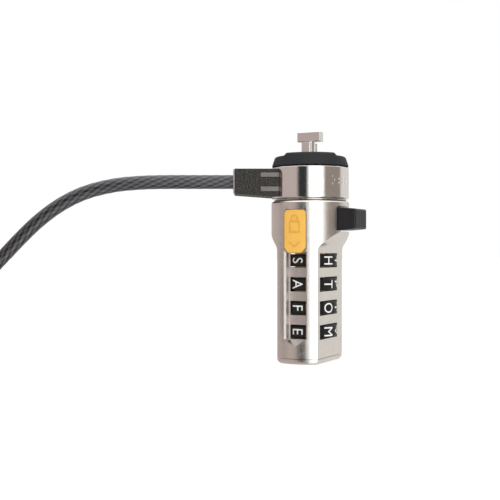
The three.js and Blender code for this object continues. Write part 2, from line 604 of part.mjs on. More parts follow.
const headRoom = PLATE_SCREW_HEAD_R + SMALL_GAP;
const plateSlotZ0 = PLATE_Z1 - PLATE_SCREW_SINK - SCREW_SLOT_D;
const headFloor = PLATE_Z1 - PLATE_SCREW_HEAD_H - GAP;
let plate = rod(PLATE_R, PLATE_Z0, PLATE_Z1, 56)
  .subtract(rod(STEM_R + GAP, 0, BIG, 24))
  .subtract(guardSlot(PLATE_Z0 - 1, PLATE_Z1 + 1));
[1, 2].forEach((n) => {
  const x = n === 1 ? PLATE_SCREW_X : -PLATE_SCREW_X;
  const hole = rod(PLATE_SCREW_R + SMALL_GAP, 0, BIG, 16).add(rod(headRoom, headFloor, BIG, 20));
  plate = plate.subtract(hole.translate([x, 0, 0]));
  const screw = rod(PLATE_SCREW_R, plateScrewZ0, PLATE_Z1 - PLATE_SCREW_SINK, 16)
    .add(rod(PLATE_SCREW_HEAD_R, headFloor + SMALL_GAP, PLATE_Z1 - PLATE_SCREW_SINK, 20))
    .subtract(box(-BIG, BIG, -SCREW_SLOT_W / 2, SCREW_SLOT_W / 2, plateSlotZ0, BIG));
  add(body, "plate_screw_" + n, screw.translate([x, 0, 0]), steel);
});
add(body, "retaining_plate", plate, steel);

function noseBumper() {
  const foot = PLATE_Z0;
  const footR = BODY_R - BUMPER_INSET;
  const shoulder = foot + BUMPER_SHOULDER;
  const topR = footR - BUMPER_FLARE;
  const skirt = turned([
    [0, foot],
    [footR, foot],
    [footR, foot + BUMPER_LIP],
    ...arc(topR - BUMPER_EDGE, shoulder - BUMPER_EDGE, BUMPER_EDGE, 10, 90, 3),
    [0, shoulder],
  ], 48);
  const bandR = footR + BAND_PROUD;
  const bandRound = turned([
    [0, foot],
    [bandR, foot],
    [bandR, foot + BUMPER_LIP],
    [bandR - BUMPER_FLARE * BAND_LEAN, BUMPER_Z1 - BUMPER_EDGE],
    [bandR - BUMPER_FLARE * BAND_LEAN - BUMPER_EDGE, BUMPER_Z1],
    [0, BUMPER_Z1],
  ], 48);
  const half = [
    [BAND_FOOT_W / 2, foot],
    [BAND_FOOT_W / 2, shoulder - BAND_SINK],
    [BAND_TOP_W / 2, BUMPER_Z1],
  ];
  const across = [...half, ...mirrorX(half)];
  const band = slab(across, -BIG, BIG).intersect(bandRound);
  return skirt
    .add(band)
    .subtract(rod(PLATE_R + GAP, 0, PLATE_Z1 + GAP, 48))
    .subtract(rod(STEM_R + GAP, 0, BIG, 24).rotate([0, 0, BODY_TURN - BAND_TURN]))
    .subtract(guardSlot(0, BIG).rotate([0, 0, BODY_TURN - BAND_TURN]))
    .rotate([0, 0, BAND_TURN]);
}
add(lock, "nose_bumper", noseBumper(), rubber);
add(lock, "swivel_washer", tube(NECK_R + GAP, RING_R - 0.7, WASHER_Z0, WASHER_Z0 + WASHER_T, 48), steel);

// ---- swivel collar and its arm ------------------------------------------------------------------------------
const boreX0 = ARM_TIP_X + ARM_BORE_L;
const anchorX0 = ARM_TIP_X + CABLE_SEAT + GAP; // outer face of the anchor
const anchorPinX = anchorX0 + ANCHOR_L / 2;
const anchorHole = (r, y0, y1) => alongY(rod(r, y0, y1, 16)).translate([anchorPinX, 0, ARM_Z]);

function swivelCollar() {
  const ring = turned([
    [NECK_R + GAP, RING_Z0],
    ...arc(RING_R - RING_EDGE, RING_Z0 + RING_EDGE, RING_EDGE, 270, 360, 2),
    ...arc(RING_R - RING_EDGE, RING_Z1 - RING_EDGE, RING_EDGE, 0, 90, 2),
    [NECK_R + GAP, RING_Z1],
  ], 56);
  const top = RING_Z1 - ARM_DROP;
  const foot = RING_Z0 + ARM_FOOT;
  const root = -NECK_R; // runs on inside the ring's wall
  const side = [
    [ARM_TIP_X + ARM_EDGE, foot + ARM_TAPER],
    [-RING_R, foot],
    [root, foot],
    [root, top],
    [ARM_TIP_X + ARM_EDGE, top],
    [ARM_TIP_X, top - ARM_EDGE],
    [ARM_TIP_X, foot + ARM_TAPER + ARM_EDGE],
  ];
  const plan = roundedRect(ARM_TIP_X, BIG, -ARM_W / 2, ARM_W / 2, ARM_EDGE, 2);
  const arm = slab(side, -BIG, BIG)
    .intersect(prism(plan, 0, BIG))
    .subtract(rod(NECK_R + GAP + 0.5, 0, BIG, 48));
  const bore = alongX(rod(CABLE_R + GAP, ARM_TIP_X - 1, boreX0, 24)).translate([0, 0, ARM_Z]);
  return ring.add(arm).subtract(bore).subtract(anchorHole(ANCHOR_PIN_R + SMALL_GAP, 0, BIG));
}
add(lock, "swivel_collar", swivelCollar(), chrome);

const anchor = alongX(rod(CABLE_R, anchorX0, anchorX0 + ANCHOR_L, 24)).translate([0, 0, ARM_Z]);
add(lock, "cable_anchor", anchor.subtract(anchorHole(ANCHOR_PIN_R + SMALL_GAP, -0.5, BIG)), steel);
add(lock, "anchor_pin", anchorHole(ANCHOR_PIN_R, -0.2, ARM_W / 2 - 0.1), steel);

// ---- cable --------------------------------------------------------------------------------------------------
// The free run from the arm to the coil: straight out, then down to the surface the lock stands on.
const COIL_OUT_R = COIL_IN_R + (COIL_ROWS - 0.5) * CABLE_D; // centre of the outermost turn
const COIL_FLOOR = COIL_LIFT + CABLE_R; // centre height of the lowest layer
const RUN = [
  [ARM_TIP_X + CABLE_SEAT, 0, ARM_Z],
  [-25, 0, ARM_Z],
  [-32, 0, ARM_Z],
  [-40, 0, ARM_Z],
  [-48, 0, 50.6],
  [-56, 0.2, 49.8],
  [-64, 0.7, 47.8],
  [-71, 1.4, 44.5],
  [-77.5, 2.3, 39.9],
  [-83.5, 3.4, 34.4],
  [-89.5, 4.6, 28.3],
  [-95.5, 5.8, 22.3],
  [-101.5, 6.9, 16.9],
  [-108, 8.0, 12.1],
  [-115, 8.9, 8.1],
  [-121.5, 9.4, 5.2],
  [COIL_X, COIL_Y + COIL_OUT_R, COIL_FLOOR],
];
const IN_COIL = 3; // the last points lie in the coil's own outer turn
add(lock, "cable_run", wire(RUN.slice(0, -IN_COIL), CABLE_R, 8, 32), cableSheath);

const coilTop = COIL_LIFT + COIL_LAYERS * CABLE_D;
const coilOut = COIL_OUT_R + CABLE_R;
const coil = tube(COIL_IN_R, coilOut, COIL_LIFT, coilTop, 48).translate([COIL_X, COIL_Y, 0]);
add(lock, "cable_coil", coil, cableSheath);

// The end of the cable leaves the coil's outermost turn, crosses over it and goes back into its own sleeve.
const TOP_Z = coilTop + GAP + CABLE_R;
const TAIL = [
  [-130.4, -45.5, TOP_Z],
  [-124.9, -45.0, TOP_Z],
  [-119.8, -42.7, TOP_Z],
  [-115.9, -38.7, TOP_Z],
  [-113.6, -33.7, TOP_Z],
  [-113.1, -28.2, TOP_Z],
  [-114.5, -22.8, TOP_Z],
  [-115.2, -21.3, TOP_Z],
];
add(lock, "cable_tail", wire(TAIL, CABLE_R, 8, 12), cableSheath);

const endFitting = new THREE.Group(); // +X runs from the tail into the loop
endFitting.position.set(-115.34, -21.0, TOP_Z);
endFitting.rotation.z = THREE.MathUtils.degToRad(115);
lock.add(endFitting);
const sleeveHalf = CABLE_D + SLEEVE_WALL;
const sleeve = prism(
  roundedRect(-CABLE_R - SLEEVE_WALL, CABLE_R + SLEEVE_WALL, -sleeveHalf, sleeveHalf, CABLE_R, 5),
  0,
  SLEEVE_L,
).rotate([0, 90, 0]);
add(endFitting, "end_sleeve", sleeve, steel);

const LOOP_SIDE = [
  [GAP, CABLE_R],
  [6, 2.9],
  [13, 6.2],
  [20, 10.6],
  [27, 13.9],
  [34, 14.6],
  [40.5, 11.8],
  [44.8, 6.4],
];
const loopPath = [
  ...LOOP_SIDE,
  [46.2, 0],
  ...LOOP_SIDE.map(([x, y]) => [x, -y]).reverse(),
].map(([x, y]) => [SLEEVE_L + x, y, 0]);
add(endFitting, "cable_loop", wire(loopPath, CABLE_R, 8, 36), cableSheath);

function coilTie(angle) {
  const inside = Math.sqrt(COIL_IN_R ** 2 - (TIE_W / 2) ** 2) - GAP;
  const outside = coilOut + GAP;
  const [floor, roof] = [COIL_LIFT - GAP, coilTop + GAP];
  return box(inside - TIE_T, outside + TIE_T, -TIE_W / 2, TIE_W / 2, floor - TIE_T, roof + TIE_T)
    .subtract(box(inside, outside, -BIG, BIG, floor, roof))
    .rotate([0, 0, angle])
    .translate([COIL_X, COIL_Y, 0]);
}
TIE_ANGLES.forEach((angle, i) => add(lock, "coil_tie_" + (i + 1), coilTie(angle), tieStrap));

export default lock;
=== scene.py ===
"""A laptop cable lock: letter dials in a plated body, a thumb lever, a T-bar, and a coiled steel cable."""
import json
import math

import bmesh
import bpy
from mathutils import Matrix, Vector


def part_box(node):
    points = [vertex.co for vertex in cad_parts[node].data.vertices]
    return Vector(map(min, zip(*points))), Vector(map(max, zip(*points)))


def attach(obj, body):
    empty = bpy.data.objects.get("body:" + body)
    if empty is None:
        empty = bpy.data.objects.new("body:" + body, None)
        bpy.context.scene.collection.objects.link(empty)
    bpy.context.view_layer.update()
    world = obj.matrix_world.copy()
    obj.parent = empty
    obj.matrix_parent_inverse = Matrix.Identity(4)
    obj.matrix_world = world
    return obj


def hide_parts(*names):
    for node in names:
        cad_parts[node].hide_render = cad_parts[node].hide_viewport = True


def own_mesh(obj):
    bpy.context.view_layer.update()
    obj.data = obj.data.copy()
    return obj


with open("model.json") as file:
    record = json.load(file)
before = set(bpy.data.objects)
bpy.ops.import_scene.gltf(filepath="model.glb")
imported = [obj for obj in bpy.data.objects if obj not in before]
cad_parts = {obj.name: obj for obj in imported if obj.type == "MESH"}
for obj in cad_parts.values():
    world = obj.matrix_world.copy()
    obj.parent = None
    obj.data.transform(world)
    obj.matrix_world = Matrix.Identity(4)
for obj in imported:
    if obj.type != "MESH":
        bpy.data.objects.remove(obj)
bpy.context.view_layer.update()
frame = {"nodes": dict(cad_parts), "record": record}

# ---- camera ------------------------------------------------------------------------------------------------
# A long lens level with the middle of the lock and a little to its left, so that the arm and the first of the
# cable are in view and the upright edges stay upright.
camera = bpy.data.objects.new("camera", bpy.data.cameras.new("camera"))
camera.location = (-0.0171, -0.278, 0.0315)
camera.rotation_euler = (math.pi / 2, 0, 0)
camera.data.lens = 70.5
camera.data.sensor_width = 36
camera.data.clip_start = 0.01
bpy.context.scene.collection.objects.link(camera)
bpy.context.scene.camera = camera
bpy.context.scene.view_settings.view_transform = "Standard"


# ---- nodes -------------------------------------------------------------------------------------------------
# How every finish below is written: Value makes Math nodes out of Python's operators, and Nodes.add makes any
# other node from its type, its settings and what goes into its sockets.
class Value:
    def __init__(self, nodes, socket):
        self.nodes = nodes
        self.socket = socket

    def maths(self, operation, first, second=0.0):
        return self.nodes.add("ShaderNodeMath", {"operation": operation}, {0: first, 1: second})

    def __add__(self, other):
        return self.maths("ADD", self, other)

    def __radd__(self, other):
        return self.maths("ADD", other, self)

    def __mul__(self, other):
        return self.maths("MULTIPLY", self, other)

    def __rmul__(self, other):
        return self.maths("MULTIPLY", other, self)

    def __truediv__(self, other):
        return self.maths("DIVIDE", self, other)


class Nodes:
    def __init__(self, tree):
        self.tree = tree

    def feed(self, node, values):
        for key, value in values.items():
            if isinstance(value, Value):
                self.tree.links.new(value.socket, node.inputs[key])
            else:
                node.inputs[key].default_value = value

    def add(self, kind, settings=None, values=None, out=0):
        node = self.tree.nodes.new(kind)
        for key, value in (settings or {}).items():
            if key == "stops":
                ramp = node.color_ramp
                while len(ramp.elements) < len(value):
                    ramp.elements.new(0.5)
                for element, (position, colour) in zip(ramp.elements, value):
                    element.position = position
                    element.color = (*colour, 1)
            else:
                setattr(node, key, value)
        self.feed(node, values or {})
        return Value(self, node.outputs[out])

    def place(self, kind="Object"):
        return self.add("ShaderNodeTexCoord", out=kind)

    def axes(self, vector):
        node = self.tree.nodes.new("ShaderNodeSeparateXYZ")
        self.feed(node, {0: vector})
        return [Value(self, output) for output in node.outputs]

    def noise(self, scale, detail=2.0, roughness=0.5):
        return self.add("ShaderNodeTexNoise", None,
                        {"Vector": self.place(), "Scale": scale, "Detail": detail, "Roughness": roughness})

    def blend(self, factor, first, second):
        """A colour between two others, each of them three numbers or a Value."""
        from_colour, to_colour = (c if isinstance(c, Value) else (*c, 1) for c in (first, second))
        return self.add("ShaderNodeMix", {"data_type": "RGBA"}, {0: factor, 6: from_colour, 7: to_colour},
                        out=2)

    def steps(self, value, low, high):
        return self.add("ShaderNodeMapRange", {"interpolation_type": "SMOOTHSTEP"},
                        {0: value, 1: low, 2: high, 3: 0.0, 4: 1.0})

    def bump(self, height, distance):
        return self.add("ShaderNodeBump", None, {"Height": height, "Distance": distance})


class Finish(Nodes):
    """A material: the plain values of its shader first, then what varies over the surface."""

    def __init__(self, name, **plain):
        self.material = bpy.data.materials.new(name)
        self.material.use_nodes = True
        super().__init__(self.material.node_tree)
        self.shader = self.tree.nodes["Principled BSDF"]
        self.set(**plain)

    def set(self, **values):
        named = {key.replace("_", " ").title().replace("Ior", "IOR"): value for key, value in values.items()}
        self.feed(self.shader, named)


# ---- table and light ---------------------------------------------------------------------------------------
# A white table, and a light tent: plated metal only shows what stands round it, so the tent has a white front
# card with a dark gap beside it, a warm grey side and a paler one, and a bright roof.
table = bpy.data.objects.new("table", bpy.data.meshes.new("table"))
table_edge = 3.0
table.data.from_pydata(
    [(-table_edge, -table_edge, 0), (table_edge, -table_edge, 0), (table_edge, table_edge, 0),
     (-table_edge, table_edge, 0)], [], [(0, 1, 2, 3)])
bpy.context.scene.collection.objects.link(table)
paper = Finish("table_paper", roughness=0.7)
paper.set(base_color=(0.86, 0.86, 0.86, 1), emission_color=(1, 1, 1, 1), emission_strength=0.42)
table.data.materials.append(paper.material)
table.visible_glossy = False # plated parts show the tent round them, all the way down

world = bpy.data.worlds.new("tent")
bpy.context.scene.world = world
world.use_nodes = True
tent = Nodes(world.node_tree)
way = tent.axes(tent.place("Generated"))
around = tent.add("ShaderNodeMath", {"operation": "ARCTAN2"}, {0: way[0], 1: way[1] * -1.0})
turn_share = around / (2 * math.pi) + 0.5


def card(degrees):
    """Where on the tent's ramp a direction lies, in degrees round from the front."""
    return degrees / 360 + 0.5


pink_grey = (0.52, 0.44, 0.42)
dark_gap = (0.035, 0.038, 0.035)
front_white = (1.9, 1.9, 1.9)
warm_grey = (0.30, 0.26, 0.23)
pale_grey = (0.74, 0.72, 0.69)
tent_sides = tent.add("ShaderNodeValToRGB", {"stops": [
    (card(-180), pale_grey),
    (card(-150), pink_grey),
    (card(-45), pink_grey),
    (card(-36), dark_gap),
    (card(-15), dark_gap),
    (card(-1), front_white),
    (card(29), front_white),
    (card(42), warm_grey),
    (card(93), warm_grey),
    (card(103), pale_grey),
]}, {0: turn_share})
roof = tent.steps(way[2], 0.45, 0.75)
roof_white = (1.5, 1.5, 1.5)
lit = tent.blend(roof, tent_sides, roof_white)
seen = tent.add("ShaderNodeLightPath", out="Is Camera Ray")
backdrop = tent.blend(seen, lit, (1.0, 1.0, 1.0))
background = world.node_tree.nodes["Background"]
tent.feed(background, {"Color": backdrop, "Strength": 1.0})


def softbox(name, place, aim, size, power):
    light = bpy.data.lights.new(name, "AREA")
    light.shape = "RECTANGLE"
    light.size, light.size_y = size
    light.energy = power
    lamp = bpy.data.objects.new(name, light)
    lamp.location = place
    lamp.rotation_euler = (Vector(aim) - Vector(place)).to_track_quat("-Z", "Y").to_euler()
    bpy.context.scene.collection.objects.link(lamp)


softbox("overhead_softbox", (0.05, -0.15, 0.6), (0, 0, 0.03), (0.5, 0.5), 0.35)
softbox("front_softbox", (0.2, -0.7, 0.3), (0, 0, 0.03), (0.3, 0.5), 0.12)

# ---- cable -------------------------------------------------------------------------------------------------
# 1.8 m of 4 mm twisted steel rope in a clear-dark vinyl jacket. It leaves the arm straight, comes down to the
# table, and the rest of it is wound into one coil of four layers, with its looped end laid on top.
MM = 0.001
cable_r = 2.0
coil_centre = Vector((-128, -18))
coil_mid_r = 23.6
coil_floor = 3.1 # centre height of the lowest layer, which lies on the ties
layer_rise = 4.0
ring_step = 4.0
coil_layers = 4
run = [
    (-18.8, 0, 50.8), (-25, 0, 50.8), (-32, 0, 50.8), (-40, 0, 50.8), (-48, 0, 50.6), (-56, 0.2, 49.8),
    (-64, 0.7, 47.8), (-71, 1.4, 44.5), (-77.5, 2.3, 39.9), (-83.5, 3.4, 34.4), (-89.5, 4.6, 28.3),
    (-95.5, 5.8, 22.3), (-101.5, 6.9, 16.9), (-108, 8.0, 12.1), (-115, 8.9, 8.1), (-121.5, 9.4, 5.2),
]
tail = [
    (-130.4, -45.5, 19.4), (-124.9, -45.0, 19.4), (-119.8, -42.7, 19.4), (-115.9, -38.7, 19.4),
    (-113.6, -33.7, 19.4), (-113.1, -28.2, 19.4), (-114.5, -22.8, 19.4), (-115.2, -21.3, 19.4),
]


def ease(t):
    return t * t * (3 - 2 * t)


def coil_turns():
    """The wound part, as points: each layer is three rings, stepped from one to the next in a short stretch,
    and each layer is laid on the one below where it has room to climb."""
    rings = [coil_mid_r + ring_step, coil_mid_r, coil_mid_r - ring_step]
    points = []
    angle, radius, height = 90.0, rings[0], coil_floor
    step = 7.5

    def wind(degrees, to_radius, to_height):
        nonlocal angle, radius, height
        count = max(1, round(degrees / step))
        for i in range(count):
            t = ease(i / count)
            a = math.radians(angle + degrees * i / count)
            r = radius + (to_radius - radius) * t
            points.append((coil_centre.x + r * math.cos(a), coil_centre.y + r * math.sin(a),
                           height + (to_height - height) * t))
        angle, radius, height = angle + degrees, to_radius, to_height

    for layer in range(coil_layers):
        order = rings if layer % 2 == 0 else rings[::-1]
        wind(240, order[0], height)
        wind(60, order[1], height)
        wind(300, order[1], height)
        wind(60, order[2], height)
        if layer < coil_layers - 1:
            wind(240, order[2], height)
            wind(60, order[2], height + layer_rise)
    wind(165, rings[0], height)
    wind(70, rings[0], tail[0][2])
    return points


def through(points, spacing):
    """A smooth line through points, as evenly spaced points."""
    knots = [Vector(p) for p in points]
    ends = [knots[0] * 2 - knots[1], *knots, knots[-1] * 2 - knots[-2]]
    fine = []
    for a, b, c, d in zip(ends, ends[1:], ends[2:], ends[3:]):
        parts = max(2, math.ceil((c - b).length / (spacing / 4)))
        for i in range(parts):
            t = i / parts
            fine.append(0.5 * (2 * b + (c - a) * t + (2 * a - 5 * b + 4 * c - d) * t * t
                               + (3 * b - a - 3 * c + d) * t ** 3))
    fine.append(knots[-1])
    total = sum((q - p).length for p, q in zip(fine, fine[1:]))
    count = max(2, round(total / spacing))
    line, gone, k = [fine[0]], 0.0, 0
    for i in range(1, count):
        goal = total * i / count
        while gone + (fine[k + 1] - fine[k]).length < goal:
            gone += (fine[k + 1] - fine[k]).length
            k += 1
        t = (goal - gone) / (fine[k + 1] - fine[k]).length
        line.append(fine[k].lerp(fine[k + 1], t))
    line.append(fine[-1])
    return line


strands = 9
strand_lay = 29.0 # along the rope, for a strand to go once round it
rope_spacing = 1.6 # between the points that the rope is built on


def rope_mesh(name, line, radius, sides=64):
    """A rope along a line of points: strands that lie beside each other and twist round it."""
    mesh = bpy.data.meshes.new(name)
    ahead = [(line[min(i + 1, len(line) - 1)] - line[max(i - 1, 0)]).normalized() for i in range(len(line))]
    side = ahead[0].cross(Vector((0, 0, 1))).normalized()
    points, crest, gone = [], [], 0.0
    for i, (centre, way) in enumerate(zip(line, ahead)):
        side = (side - way * side.dot(way)).normalized()
        up = side.cross(way)
        if i:
            gone += (centre - line[i - 1]).length
        for s in range(sides):
            a = 2 * math.pi * s / sides
            lobe = abs(math.cos(strands / 2 * (a - 2 * math.pi * gone / strand_lay)))
            r = radius * (0.93 + 0.07 * math.sqrt(lobe))
            points.append((centre + side * (r * math.cos(a)) + up * (r * math.sin(a))) * MM)
            crest.append(lobe)
    faces = []
    for i in range(len(line) - 1):
        for s in range(sides):
            a, b = i * sides + s, i * sides + (s + 1) % sides
            faces.append((a, a + sides, b + sides, b))
    last = (len(line) - 1) * sides
    faces.append(tuple(range(sides)))
    faces.append(tuple(reversed(range(last, last + sides))))
    mesh.from_pydata([tuple(p) for p in points], [], faces)
    mesh.attributes.new("crest", "FLOAT", "POINT").data.foreach_set("value", crest)
    mesh.polygons.foreach_set("use_smooth", [len(f) == 4 for f in faces])
    return mesh


def show(name, mesh, finish, body, slot, *stands_for):
    """Puts a mesh in the scene with its finish, on its body, in place of the solids that it stands for."""
    made = bpy.data.objects.new(name, mesh)
    bpy.context.scene.collection.objects.link(made)
    mesh.materials.append(finish.material)
    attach(made, body)
    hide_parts(*stands_for)
    return made


jacket = Finish("cable_jacket", metallic=0.4, coat_weight=0.4, coat_roughness=0.12)
crest = jacket.add("ShaderNodeAttribute", {"attribute_name": "crest"}, out="Fac")
grain = jacket.noise(2500, 3)
# The jacket colour is near black in the grooves between strands, as painted shade, and lighter on the strand
# crests, as a painted highlight; the grain noise varies it at random.
groove_painted_shade, crest_painted_highlight = (0.006, 0.006, 0.008), (0.10, 0.10, 0.11)
jacket.set(base_color=jacket.blend(jacket.steps(crest + grain * 0.3, 0.45, 1.2), groove_painted_shade, crest_painted_highlight),
           roughness=0.32 + grain * 0.12)

cable_line = through([*run, *coil_turns(), *tail], rope_spacing)
cable = show("cable", rope_mesh("cable", cable_line, cable_r), jacket, "swivel", "cable_sheath",
             "cable_run", "cable_coil", "cable_tail")

# ---- looped end --------------------------------------------------------------------------------------------
# The end of the rope is bent round into a loop that the lock can pass through, and both its ends are swaged
# into one oval steel sleeve.
loop_x, loop_y, loop_turn = -115.34, -21.0, math.radians(115)
sleeve_length = 12.0
loop_side = [(0.3, 2.0), (6, 2.9), (13, 6.2), (20, 10.6), (27, 13.9), (34, 14.6), (40.5, 11.8), (44.8, 6.4)]
loop_plan = [*loop_side, (46.2, 0), *[(x, -y) for x, y in reversed(loop_side)]]
from_sleeve = Matrix.Translation((loop_x, loop_y, tail[0][2])) @ Matrix.Rotation(loop_turn, 4, "Z")
loop_line = through([from_sleeve @ Vector((sleeve_length + x, y, 0)) for x, y in loop_plan],
                    rope_spacing)
loop = show("cable_end_loop", rope_mesh("cable_end_loop", loop_line, cable_r), jacket, "swivel",
            "cable_sheath", "cable_loop")


def ring_of(mesh, points):
    return [mesh.verts.new(p) for p in points]


def loft(name, rings, close=True):
    """Skins a run of equal rings of points, with a face over each end."""
    work = bmesh.new()
    made = [ring_of(work, ring) for ring in rings]
    for low, high in zip(made, made[1:]):
        for k in range(len(low)):
            work.faces.new((low[k - 1], low[k], high[k], high[k - 1]))
    if close:
        work.faces.new(reversed(made[0]))
        work.faces.new(made[-1])
    bmesh.ops.recalc_face_normals(work, faces=work.faces)
    mesh = bpy.data.meshes.new(name)
    work.to_mesh(mesh)
    work.free()
    return mesh


def oval(half_wide, half_high, corner, steps=10):
    points = []
    for cx, cy, first in ((1, 1, 0), (-1, 1, 90), (-1, -1, 180), (1, -1, 270)):
        for i in range(steps + 1):
            a = math.radians(first + 90 * i / steps)
            points.append((cx * (half_wide - corner) + corner * math.cos(a),
                           cy * (half_high - corner) + corner * math.sin(a)))
    return points


swaged = Finish("swaged_sleeve", metallic=1.0)
swaged.set(base_color=(0.42, 0.41, 0.4, 1), roughness=0.3 + swaged.noise(900) * 0.15,
           normal=swaged.bump(swaged.noise(1400, 3), 0.00006))
sleeve_profile = [ # the share of the length, and how far the sleeve stands out there
    (0, -0.45), (0.03, -0.1), (0.06, 0), (0.3, 0), (0.36, -0.25), (0.44, -0.25), (0.5, 0), (0.56, -0.25),
    (0.64, -0.25), (0.7, 0), (0.94, 0), (0.97, -0.1), (1, -0.45),
]
sleeve_half_wide, sleeve_half_high, sleeve_corner = 4.5, 2.5, 2.2
sleeve_rings = []
for share, grow in sleeve_profile:
    section = oval(sleeve_half_wide + grow, sleeve_half_high + grow, sleeve_corner + grow)
    sleeve_rings.append([(from_sleeve @ Vector((share * sleeve_length, y, z))) * MM for y, z in section])
sleeve_mesh = loft("end_sleeve_swaged", sleeve_rings)
for face in sleeve_mesh.polygons:
    face.use_smooth = True
sleeve_mesh.set_sharp_from_angle(angle=math.radians(35))
sleeve = show("end_sleeve_swaged", sleeve_mesh, swaged, "swivel", "steel", "end_sleeve")

# ---- coil ties ---------------------------------------------------------------------------------------------
# Two woven hook-and-loop straps round the coil, each a flat band with rounded corners.
strap = Finish("tie_strap", roughness=0.95, sheen_weight=0.4)
weave = strap.add("ShaderNodeTexWave", {"bands_direction": "Z"},
                  {"Vector": strap.place(), "Scale": 700, "Distortion": 3})
strap.set(base_color=strap.blend(weave, (0.006, 0.006, 0.007), (0.03, 0.03, 0.032)),
          normal=strap.bump(weave, 0.0001))
coil_in, coil_out = coil_mid_r - 6.0, coil_mid_r + 6.0
tie_thick, tie_wide, tie_room = 0.8, 6.0, 0.3
tie_foot, tie_head = 0.8, 17.4
for number, angle in enumerate((15, 195), 1):
    inside = math.sqrt(coil_in ** 2 - (tie_wide / 2) ** 2) - tie_room
    middle, half = (inside + coil_out + tie_room) / 2, (coil_out + tie_room - inside) / 2
    rings = []
    for across in (-tie_wide / 2, tie_wide / 2):
        for grow in ((0.0, tie_thick) if across < 0 else (tie_thick, 0.0)):
            rings.append([(middle + x, across, (tie_foot + tie_head) / 2 + z)
                          for x, z in oval(half + grow, (tie_head - tie_foot) / 2 + grow, 0.5 + grow, 6)])
    rings.append(rings[0])
    turn = Matrix.Translation((*coil_centre, 0)) @ Matrix.Rotation(math.radians(angle), 4, "Z")
    mesh = loft(f"coil_strap_{number}", [[(turn @ Vector(p)) * MM for p in ring] for ring in rings],
                close=False)
    work = bmesh.new()
    work.from_mesh(mesh)
    bmesh.ops.remove_doubles(work, verts=work.verts, dist=1e-7)
    bmesh.ops.recalc_face_normals(work, faces=work.faces)
    square_edges = [e for e in work.edges if e.calc_face_angle(0) > 1.2]
    bmesh.ops.bevel(work, geom=square_edges, offset=0.00012, segments=2, affect="EDGES")
    work.to_mesh(mesh)
    work.free()
    show(f"coil_strap_{number}", mesh, strap, "swivel", "tie_strap", f"coil_tie_{number}")

[tuple(p * MM) for p in cable_line]

# ---- making turned, milled and cast shapes -----------------------------------------------------------------
# Everything on the lock itself is worked out in millimetres and scaled down when it is put in the scene. The
# lock body's own frame has its front at -Y, and is turned round to face a little to the left.
body_turn = Matrix.Rotation(math.radians(-26.6), 4, "Z")


def mesh_of(work):
    bmesh.ops.recalc_face_normals(work, faces=work.faces)
    mesh = bpy.data.meshes.new("solid")
    work.to_mesh(mesh)
    work.free()
    return mesh


def turned(points, sides=144):
    """A solid of revolution about Z from (radius, height) points, from axis to axis or closed up."""
    work = bmesh.new()
    rings = []
    for r, z in points:
        if r < 1e-6:
            rings.append([work.verts.new((0, 0, z))] * sides)
        else:
            rings.append([work.verts.new((r * math.cos(a), r * math.sin(a), z))
                          for a in (2 * math.pi * k / sides for k in range(sides))])
    loop_of = zip(rings, rings[1:]) if points[0][0] < 1e-6 else zip(rings, rings[1:] + rings[:1])
    for low, high in loop_of:
        for k in range(sides):
            corners = []
            for v in (low[k - 1], low[k], high[k], high[k - 1]):
                if v not in corners:
                    corners.append(v)
            if len(corners) > 2:
                work.faces.new(corners)
    return mesh_of(work)


def rod(r, z0, z1, at=(0, 0), sides=72):
    mesh = turned([(0, z0), (r, z0), (r, z1), (0, z1)], sides)
    mesh.transform(Matrix.Translation((*at, 0)))
    return mesh


def prism(outline, z0, z1):
    work = bmesh.new()
    low = [work.verts.new((x, y, z0)) for x, y in outline]
    high = [work.verts.new((x, y, z1)) for x, y in outline]
    for k in range(len(outline)):
        work.faces.new((low[k - 1], low[k], high[k], high[k - 1]))
    work.faces.new(low)
    work.faces.new(high)
    return mesh_of(work)


def slab(outline, y0, y1):
    """An outline in X and Z, run along Y."""
    mesh = prism([(x, -z) for x, z in outline], y0, y1)
    mesh.transform(Matrix.Rotation(-math.pi / 2, 4, "X"))
    return mesh


def block(x0, x1, y0, y1, z0, z1):
    return prism([(x0, y0), (x1, y0), (x1, y1), (x0, y1)], z0, z1)


def arc(cx, cy, r, first, last, steps):
    return [(cx + r * math.cos(math.radians(first + (last - first) * i / steps)),
             cy + r * math.sin(math.radians(first + (last - first) * i / steps))) for i in range(steps + 1)]


def on_side(mesh, axis):
    """Lays a shape made along Z over, along X or along Y."""
    over = Matrix.Rotation(math.pi / 2, 4, "Y") if axis == "X" else Matrix.Rotation(-math.pi / 2, 4, "X")
    mesh.transform(over)
    return mesh


def carve(start, joins=(), cuts=(), within=(), edge=0.12, rounds=2, sharp=33):
    """A solid with others joined to it, cut out of it, or keeping it within them, and its edges broken."""
    made = bpy.data.objects.new("work", start)
    bpy.context.scene.collection.objects.link(made)
    tools = []
    for operation, solids in (("UNION", joins), ("DIFFERENCE", cuts), ("INTERSECT", within)):
        for mesh in solids:
            tool = bpy.data.objects.new("tool", mesh)
            bpy.context.scene.collection.objects.link(tool)
            tools.append(tool)
            step = made.modifiers.new(operation, "BOOLEAN")
            step.operation = operation
            step.object = tool
            step.solver = "MANIFOLD"
    if edge:
        bevel = made.modifiers.new("edges", "BEVEL")
        bevel.width = edge
        bevel.segments = rounds
        bevel.limit_method = "ANGLE"
        bevel.angle_limit = math.radians(sharp)
        bevel.miter_outer = "MITER_ARC"
    bpy.context.view_layer.update()
    seen_by = bpy.context.evaluated_depsgraph_get()
    mesh = bpy.data.meshes.new_from_object(made.evaluated_get(seen_by))
    for spent in [made, *tools]:
        bpy.data.objects.remove(spent)
    mesh.materials.clear()
    return mesh


